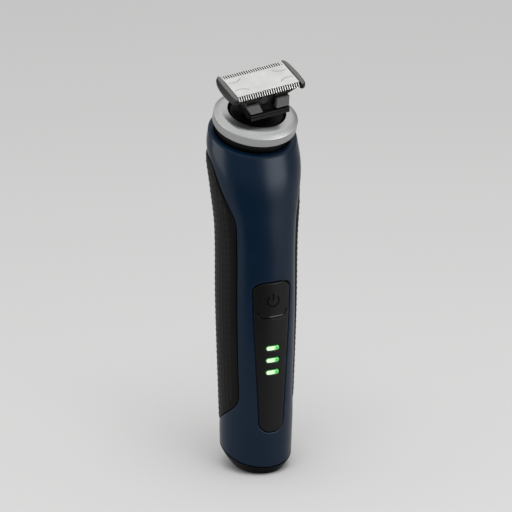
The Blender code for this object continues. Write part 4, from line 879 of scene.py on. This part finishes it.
def metal(name, colour, roughness, scale=(1, 1, 1), streaks=900, depth=0.003):
    """Bare metal: streaks drawn out by a scale, in colour, gloss and relief."""
    material, shader, place = finish(name, colour, roughness, 1)
    streak = speckle(place.node("Mapping", {"Vector": place, "Scale": scale}), streaks, 4)
    cloud = speckle(place, 120)
    tone = mottled(0.6 * streak + 0.4 * cloud, colour, 0.82, 1.12)
    coated(shader, tone, roughness - 0.09 + 0.18 * streak, streak, depth)
    return material


zinc = metal("zinc_screw", (0.16, 0.16, 0.17), 0.35, (1, 1, 4))
nickel = metal("nickel", (0.62, 0.60, 0.56), 0.25)
for side, place in SCREW_PLACES.items():
    screw_mesh = turned("cross_screw", (
        (0, SCREW_LOW, 0), (SCREW_HEAD, SCREW_LOW, 0.5 * MM), (SCREW_HEAD, SCREW_HEAD_TOP, SOFT_CORNER),
        (SCREW_RADIUS, SCREW_HEAD_TOP, SOFT_CORNER), (SCREW_RADIUS, SCREW_TIP - SCREW_RADIUS, SOFT_CORNER),
        (0, SCREW_TIP, 0)), 48, 1, place)
    bars = [block((*place - half, -CROSS_DEPTH), (*place + half, SCREW_LOW + CROSS_DEPTH))
            for half in np.array(((CROSS_HALF, CROSS_LINE), (CROSS_LINE, CROSS_HALF)))]
    show(f"screw_{side}", carved("cross_screw", screw_mesh, bars), zinc, "handle",
         f"base_screw_{side}")
for side, place in PIN_PLACES.items():
    pin_mesh = turned("contact_pin", (
        (0, PIN_LOW, 0), (PIN_RADIUS, PIN_LOW, 0.45 * MM), (PIN_RADIUS, PIN_HIGH, SOFT_CORNER),
        (0, PIN_HIGH, 0)), 32, 1, place)
    show(f"contact_{side}", pin_mesh, nickel, "handle", f"charging_pin_{side}")

# Neck: a black collar pressed into the shell's rim, with the round well that the blade plugs into.
# A turned and brushed aluminium ring with a rolled inner lip slips over it; its slope faces forwards
# and upwards, and its flank is painted darker as painted shade.
NECK_OVAL = 0.94
RING_METAL = (0.54, 0.545, 0.545)
RING_ROUGH = 0.31
RING_EDGE = mm(-3, -2.8)
FLANK_PAINTED_SHADE = 0.28
neck_place = Matrix.Translation(seat) @ Matrix.Rotation(NECK_TILT, 4, "X")
socket_mesh = turned("collar", mm(
    (13, -2.3, 0.2), (13.7, -2.3, 0.1), (16.2, -4.6, 0.2), (16.2, -10.5, 0.2), (15.04, -10.5, 0.2),
    (15.04, -12.7, 0.2), (13.54, -12.7, 0.2), (13.54, -6, 0.2), (4.4, -6, 0.2), (4.4, -4, 0.2),
    (12.2, -4, 0.6), (12.2, -2.3, 0.2)), depth=NECK_OVAL)
collar_black = moulded("collar_black", BLACK, 0.3, 2600, 0.002, 0.1)
show("neck_collar", socket_mesh, collar_black, "handle", "neck_socket", neck_place)

ring_mesh = turned("brushed_ring", mm(
    (12.4, -0.2, 0.25), (15.5, -0.95, 5), (17.75, -2.75, 0.15), (17.75, -6.6, 0.35), (16.5, -6.6, 0.2),
    (16.5, -4.2, 0.2), (13.9, -2, 0.2), (12.9, -2.25, 0.1), (11.65, -2.25, 0.15)), 192, NECK_OVAL)
brushed, brushed_shader, ring_at = finish("brushed_aluminium", RING_METAL, RING_ROUGH, 1)
brushed_shader.inputs["Anisotropic"].default_value = 0.6
ring_x, ring_y, ring_z = ring_at.axes()
ring_y = ring_y * (1 / NECK_OVAL)
ring_turn = ring_x.math("ARCTAN2", ring_y)
ring_flat = ring_turn.node("CombineXYZ", {
    0: ring_x.distance(ring_y) * 9, 1: ring_z * 9, 2: ring_turn * 0.012})
ring_lines = speckle(ring_flat, 700, 3)
ring_tone = mottled(0.7 * ring_lines + 0.3 * speckle(ring_at, 160), RING_METAL, 0.86, 1.1)
coated(brushed_shader, ring_tone, RING_ROUGH - 0.08 + 0.16 * ring_lines, ring_lines, 0.0012)
# The ring's flank is painted darker: painted shade.
painted(brushed, FLANK_PAINTED_SHADE * ring_z.below(*RING_EDGE), (0, 0, 0))
show("neck_ring", ring_mesh, brushed, "handle", "trim_ring", neck_place)

# Blade foot: the black disc of the plug-on blade sits in the neck's well, with two posts that carry
# the tilting head on pins. It is one moulding with bored posts.
PIVOT_RISE, PIVOT_BORE, BORE_HALF = mm(8.5, 1, 12)


def eased(piece, width, segments=3):
    """Round the piece's sharp edges."""
    modifier = piece.modifiers.new("eased_edges", "BEVEL")
    modifier.width = width
    modifier.segments = segments
    modifier.limit_method = "ANGLE"
    modifier.harden_normals = True


foot_disc = turned("blade_foot", mm((11.3, -0.9, 0.5), (11.3, -3.7, 0.3), (3.6, -3.7, 0.3), (3.6, -0.9, 0.5)),
                   96, NECK_OVAL)
posts = [block(mm(middle - 0.7, -1.6, -2), mm(middle + 0.7, 1.6, 9.8)) for middle in (-4.9, 4.9)]
pin_bore = rod((-BORE_HALF, 0, PIVOT_RISE), (BORE_HALF, 0, PIVOT_RISE), PIVOT_BORE)
blade_foot = show("blade_foot", carved("blade_foot", foot_disc, [pin_bore], posts), black_satin, "coupler",
                  "blade_coupler", neck_place)
eased(blade_foot, 0.12 * MM)

# Head carrier: the black moulded box under the blade, open below around the pivots, with a wide beam
# on top, a ribbed ledge along the front and a sunk field between the two pads.
# A round boss stands in the sunk field.
HEAD_TURN = Matrix.Rotation(radians(-6.5), 4, "X") @ Matrix.Rotation(radians(-8.5), 4, "Y")
head_place = neck_place @ Matrix.Translation((0, 0, PIVOT_RISE)) @ HEAD_TURN
carrier_half = mm((9.2, -5.6), (9.2, 1.3), (13.75, 3.1), (13.75, 5.7), (12.95, 5.7), (12.95, 4.9))
CARRIER_DEPTHS = mm(-6.6, 6.6)
carrier_outline = [*carrier_half, *(carrier_half[::-1] * (-1, 1))]
front_ledge = block(mm(-8.6, -9.5, -5.8), mm(8.6, -5.6, -3.4))
carrier_cuts = [
    block(mm(-7.7, -4.7, -20), mm(7.7, 4.7, 3.1)),  # room for the pivots
    block(mm(-6.1, -2.9, 0), mm(6.1, 2.9, 6.4)),  # opening in the beam
    rod(mm(0, -5.95, 0), mm(0, 5.95, 0), PIVOT_BORE),
    block(mm(-3.3, -8, -2.6), mm(3.3, -6, 2.7)),  # sunk field
    block(mm(-9, -12, -4.6), mm(9, -8.95, -4.2)),  # groove along the ledge
    block(mm(-6.9, 6.1, -4.3), mm(6.9, 8, -0.9)),  # two grooves in the back
    block(mm(-6.9, 6.1, 0.2), mm(6.9, 8, 1.3)),
]
carrier_box = lofted("carrier_box", [[(x, depth, z) for x, z in carrier_outline] for depth in CARRIER_DEPTHS])
carrier_black = moulded("carrier_black", BLACK, 0.3, 2600, 0.003, 0.28)
carrier = show("carrier", carved("head_carrier", carrier_box, carrier_cuts, [front_ledge]), carrier_black,
               "carrier", "blade_carrier", head_place)
boss_mesh = rod(mm(-1.6, -6.5, 0.9), mm(-1.6, -5.9, 0.9), 1.75 * MM)
boss_black = moulded("boss_black", shaded(BLACK, 2.2), 0.3, 2600, 0.003)
boss = show("carrier_boss", boss_mesh, boss_black, "carrier", None, head_place)
for piece in (carrier, boss):
    eased(piece, 0.15 * MM)

# Latch pads: two grey plastic wedges on the carrier's front that the fingers press against, moulded with
# rounded edges and a fine matt grain.
PAD_GREY = (0.084, 0.082, 0.080)
PAD_BACK = -6.6 * MM
# Each pad: its side, then for its lower and its upper end height, front, inner and outer reach
PADS = {
    "left": (-1, mm((-2.7, -9.5, 3.3, 8.6), (0.4, -7.8, 4.3, 10.1))),
    "right": (1, mm((-2.6, -9.5, 2.7, 8.4), (0.9, -7.7, 3.8, 9.4))),
}
pad_paint = moulded("pad_grey", PAD_GREY, 0.5, 2200, 0.008, 0.35)
for side, (sign, pad_ends) in PADS.items():
    pad_rows = [[(sign * x, y, height)
                 for x, y in ((inner, front), (outer, front), (outer, PAD_BACK), (inner, PAD_BACK))]
                for height, front, inner, outer in pad_ends]
    pad = show(f"pad_{side}", lofted("latch_pad", pad_rows), pad_paint, "carrier",
               f"latch_pad_{side}", head_place)
    eased(pad, 0.25 * MM)

# Guard plate: a pressed strip of brushed stainless steel. Both long edges are slotted into teeth; the
# front ones are bent down over the cutter and the rear ones stay nearly flat. Four fine arcs are etched
# into its corners.
PLATE_TOP, PLATE_HALF, PLATE_SHEET = mm(6.4, 13.75, 0.28)
TEETH = 27
TOOTH_LENGTH, TOOTH_TIP = mm(1.9, 0.34)
TOOTH_BEND = radians(52)
BEND_RADIUS, FRONT_GAP, FRONT_STEP = mm(0.55, 0.5, 0.32)
FRONT_ROOT, FRONT_EDGE, FRONT_BEND = mm(6.9, 7.5, 7.75)
REAR_GAP, REAR_ROOT, REAR_TIP = mm(0.48, 6.6, 9.6)
REAR_FALL = mm(0, 0, 0.012, 0.048, 0.12)
ARC_MIDDLE = mm(10.75, 7.1)
ARC_RADIUS, ARC_LINE = mm(4.4, 0.11)
ARC_INNER = mm(6.8, 7.4)
ARC_OUTER = mm(12.6, 13)
ARC_SIDE = mm(4.6, 5.1)
STEEL = (0.80, 0.795, 0.78)
STEEL_DARK = (0.10, 0.10, 0.10)
STEEL_PALE = (1, 0.995, 0.975)
STEEL_ROUGH = 0.36
front_top = PLATE_TOP - FRONT_STEP
front_tip = (FRONT_BEND + TOOTH_LENGTH * cos(TOOTH_BEND), front_top - TOOTH_LENGTH * sin(TOOTH_BEND), 0)
front_path = bent(((FRONT_ROOT, front_top, 0), (FRONT_BEND, front_top, BEND_RADIUS), front_tip))
front_path = np.vstack((front_path[:1], front_path[1:-1:3], front_path[-1:]))
rear_path = np.c_[np.linspace(REAR_ROOT, REAR_TIP, len(REAR_FALL)), PLATE_TOP - REAR_FALL]


def guard_plate_mesh():
    """Top faces of the sheet: the flat with its straight front edge, and rows of tapering teeth."""
    bm = bmesh.new()
    pitch = 2 * PLATE_HALF / TEETH
    border = [bm.verts.new((x, -FRONT_EDGE, PLATE_TOP)) for x in (-PLATE_HALF, PLATE_HALF)]
    rear_edge = []
    for side, path, gap in ((-1, front_path, FRONT_GAP), (1, rear_path, REAR_GAP)):
        for tooth in range(TEETH):
            middle = (tooth + 0.5 - TEETH / 2) * pitch
            columns = []
            for place, (reach, height) in enumerate(path):
                half = (pitch - gap) / 2
                half += (TOOTH_TIP / 2 - half) * max(place - 2, 0) / (len(path) - 3)
                left, right = middle - half, middle + half
                if side > 0 and tooth == 0:
                    left = -PLATE_HALF
                if side > 0 and tooth == TEETH - 1:
                    right = PLATE_HALF
                columns.append([bm.verts.new((x, side * reach, height)) for x in (left, right)])
            for near, far in zip(columns, columns[1:]):
                bm.faces.new((*near, *reversed(far))[::side])
            if side > 0:
                rear_edge += columns[0]
    bm.faces.new(border + list(reversed(rear_edge)))
    return mesh_of("toothed_plate", bm, 50, closed=False)


plate_steel, steel_shader, steel_at = finish("blade_steel", STEEL, STEEL_ROUGH, 1)
steel_x, steel_y = [abs(axis) for axis in steel_at.axes()[:2]]
arc_miss = (steel_x - ARC_MIDDLE[0]).distance(steel_y - ARC_MIDDLE[1]) - ARC_RADIUS
arc = abs(arc_miss).below(0.5 * ARC_LINE, 1.6 * ARC_LINE) * steel_y.below(*ARC_SIDE)
arc = arc * steel_x.between(*ARC_INNER) * steel_x.below(*ARC_OUTER)
steel_drawn = steel_at.node("Mapping", {"Vector": steel_at, "Scale": (0.06, 1, 1)})
steel_lines = speckle(steel_drawn, 2600, 3)
steel_tone = 0.5 * steel_lines + 0.5 * speckle(steel_at, 140)
steel_tone = steel_tone * (1 - 0.9 * arc) - 0.9 * arc
coated(steel_shader, blended(0.5 + 0.5 * steel_tone, STEEL_DARK, STEEL_PALE),
       STEEL_ROUGH - 0.06 + 0.12 * steel_lines + 0.2 * arc, 0.4 * steel_lines - arc, 0.012)
plate = show("plate", guard_plate_mesh(), plate_steel, "carrier", "guard_plate", head_place)
thickness = plate.modifiers.new("sheet_thickness", "SOLIDIFY")
thickness.thickness = PLATE_SHEET
thickness.offset = -1
eased(plate, 0.05 * MM, 2)

# Cutter: the dark hardened steel blade that slides under the guard plate. It is a thin comb, ground flat,
# with fine teeth of its own, and stands on a rib.
CUTTER_STEEL = (0.022, 0.022, 0.023)
CUTTER_HALF, CUTTER_LOW, CUTTER_HIGH = mm(12.6, 5.74, 5.98)
CUTTER_FRONT, CUTTER_REAR, CUTTER_TOOTH = mm(6.9, 9.5, 0.15)
CUTTER_TEETH = 29
RIB_HALF = mm(11.7, 4)
RIB_LOW, RIB_HIGH = mm(5.2, 5.79)


def comb_outline():
    """Outline of the blade in x and y, with square teeth on both long edges."""
    places = np.linspace(-CUTTER_HALF, CUTTER_HALF, 2 * CUTTER_TEETH)
    points = []
    for edge, order in ((-CUTTER_FRONT, 1), (CUTTER_REAR, -1)):
        for step in range(len(places) - 1):
            reach = edge + order * CUTTER_TOOTH * (step % 2)
            points += [(order * places[step], reach), (order * places[step + 1], reach)]
    return points


cutter_comb = lofted("cutter_comb", [[(x, y, height) for x, y in comb_outline()]
                                     for height in (CUTTER_LOW, CUTTER_HIGH)])
cutter_rib = block((*-RIB_HALF, RIB_LOW), (*RIB_HALF, RIB_HIGH))
cutter_steel = metal("cutter_steel", CUTTER_STEEL, 0.55, (0.08, 1, 1), 2200)
show("cutter", carved("cutter_comb", cutter_comb, [], [cutter_rib]), cutter_steel, "cutter",
     "cutter_blade", head_place)

# End guards: two dark grey plastic crescents that close the ends of the plate and keep its corners off
# the skin. Their tops are flat with a soft outer edge, painted paler as painted light from above, and their
# bellies hang lowest in the middle.
GUARD_INNER, GUARD_THICK, GUARD_HALF = mm(14.05, 2.9, 10.1)
GUARD_TOP, GUARD_HEIGHT = mm(6.7, 4.4)
GUARD_BOW, GUARD_NOSE = mm(0.3, 0.25)
GUARD_STEPS = 40
GUARD_GREY = (0.015, 0.015, 0.0148)
GUARD_PAINTED_LIGHT = (0.14, 0.14, 0.137)
GUARD_ROUGH = 0.46
# Corners of a slice: shares of its thickness, its height and its rounding
GUARD_SLICE = ((0, 0.5, 0), (0, 1, 0.4), (0.6, 1, 0.5), (1, 0.64, 1), (0.9, 0.2, 1),
               (0.55, 0, 1), (0, 0, 0.4), (0, 0.5, 0))


def guard_rows(sign):
    """Slices of a crescent from its front tip to its rear tip, thinner and flatter towards both."""
    rows = []
    for turn in np.linspace(-pi / 2, pi / 2, GUARD_STEPS + 1):
        share = sin(turn)
        tip = sqrt(max(1 - share**8, 0))
        thick = GUARD_THICK * (0.42 + 0.58 * sqrt(1 - 0.9 * share**2)) * (0.25 + 0.75 * tip)
        low = GUARD_TOP - GUARD_HEIGHT * (1 - 0.26 * share**2) * (0.55 + 0.45 * tip)
        high = GUARD_TOP - GUARD_BOW * share**2 - GUARD_NOSE * (1 - tip)
        corner = 0.2 * min(thick, high - low)
        outline = bent([(GUARD_INNER + thick * across, low + (high - low) * up, corner * rounding)
                        for across, up, rounding in GUARD_SLICE])[:-1]
        rows.append([(sign * x, GUARD_HALF * share, z) for x, z in outline])
    return rows


guard_paint, guard_shader, guard_at = finish("guard_grey", GUARD_GREY, GUARD_ROUGH, specular=0.2)
_, guard_y, guard_z = guard_at.axes()
guard_share = guard_y * (1 / GUARD_HALF)
guard_crown = guard_z - GUARD_TOP + guard_share * guard_share * GUARD_BOW
guard_grain = speckle(guard_at, 2400)
# The tops are painted paler: painted light falling from above, not wear.
guard_top_painted_light = guard_crown.between(-0.2 * MM, -0.06 * MM) * (0.8 + 0.4 * guard_grain)
coated(guard_shader, blended(guard_top_painted_light, GUARD_GREY, GUARD_PAINTED_LIGHT), GUARD_ROUGH - 0.05 + 0.1 * guard_grain,
       guard_grain, 0.004)
for side, sign in (("left", -1), ("right", 1)):
    show(f"guard_{side}", lofted("end_crescent", guard_rows(sign)), guard_paint, "carrier",
         f"end_guard_{side}", head_place)

# Inner works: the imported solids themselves, each in the finish of its own stuff: moulded plastics,
# sleeved cell, drawn steel, tinned and plated metal, and a lacquered board.
INNER_WORKS = (
    (moulded("chassis_grey", (0.075, 0.078, 0.082), 0.5, 1800, 0.01), "chassis lever_bracket"),
    (moulded("linkage_grey", (0.16, 0.16, 0.155), 0.42, 2200, 0.006),
     "drive_lever drive_eccentric gimbal_ring cutter_bridge"),
    (moulded("sleeve_blue", (0.03, 0.10, 0.24), 0.3, 500, 0.01), "battery_cell"),
    (nickel, "battery_tab_lower battery_tab_upper"),
    (moulded("board_green", (0.01, 0.09, 0.035), 0.32, 700, 0.008), "circuit_board"),
    (moulded("switch_black", (0.014, 0.014, 0.015), 0.45, 2400, 0.005), "tact_switch switch_plunger"),
    (moulded("chip_white", (0.62, 0.64, 0.55), 0.35, 2000, 0.004), "led_chip_1 led_chip_2 led_chip_3"),
    (metal("can_steel", (0.55, 0.55, 0.54), 0.32, (1, 1, 8)), "motor_can"),
    (metal("drawn_steel", (0.36, 0.36, 0.37), 0.3, (1, 1, 0.1)),
     "motor_shaft lever_pivot_pin drive_pin pitch_pin_left pitch_pin_right roll_pin_front roll_pin_rear"),
    (moulded("seal_black", (0.012, 0.012, 0.013), 0.7, 1500, 0.02), "drive_seal"),
    (moulded("socket_black", (0.010, 0.010, 0.011), 0.5, 2400, 0.006), "charging_socket"),
)
for inner_finish, names in INNER_WORKS:
    for name in names.split():
        inner_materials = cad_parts[name].data.materials
        inner_materials.clear()
        inner_materials.append(inner_finish)
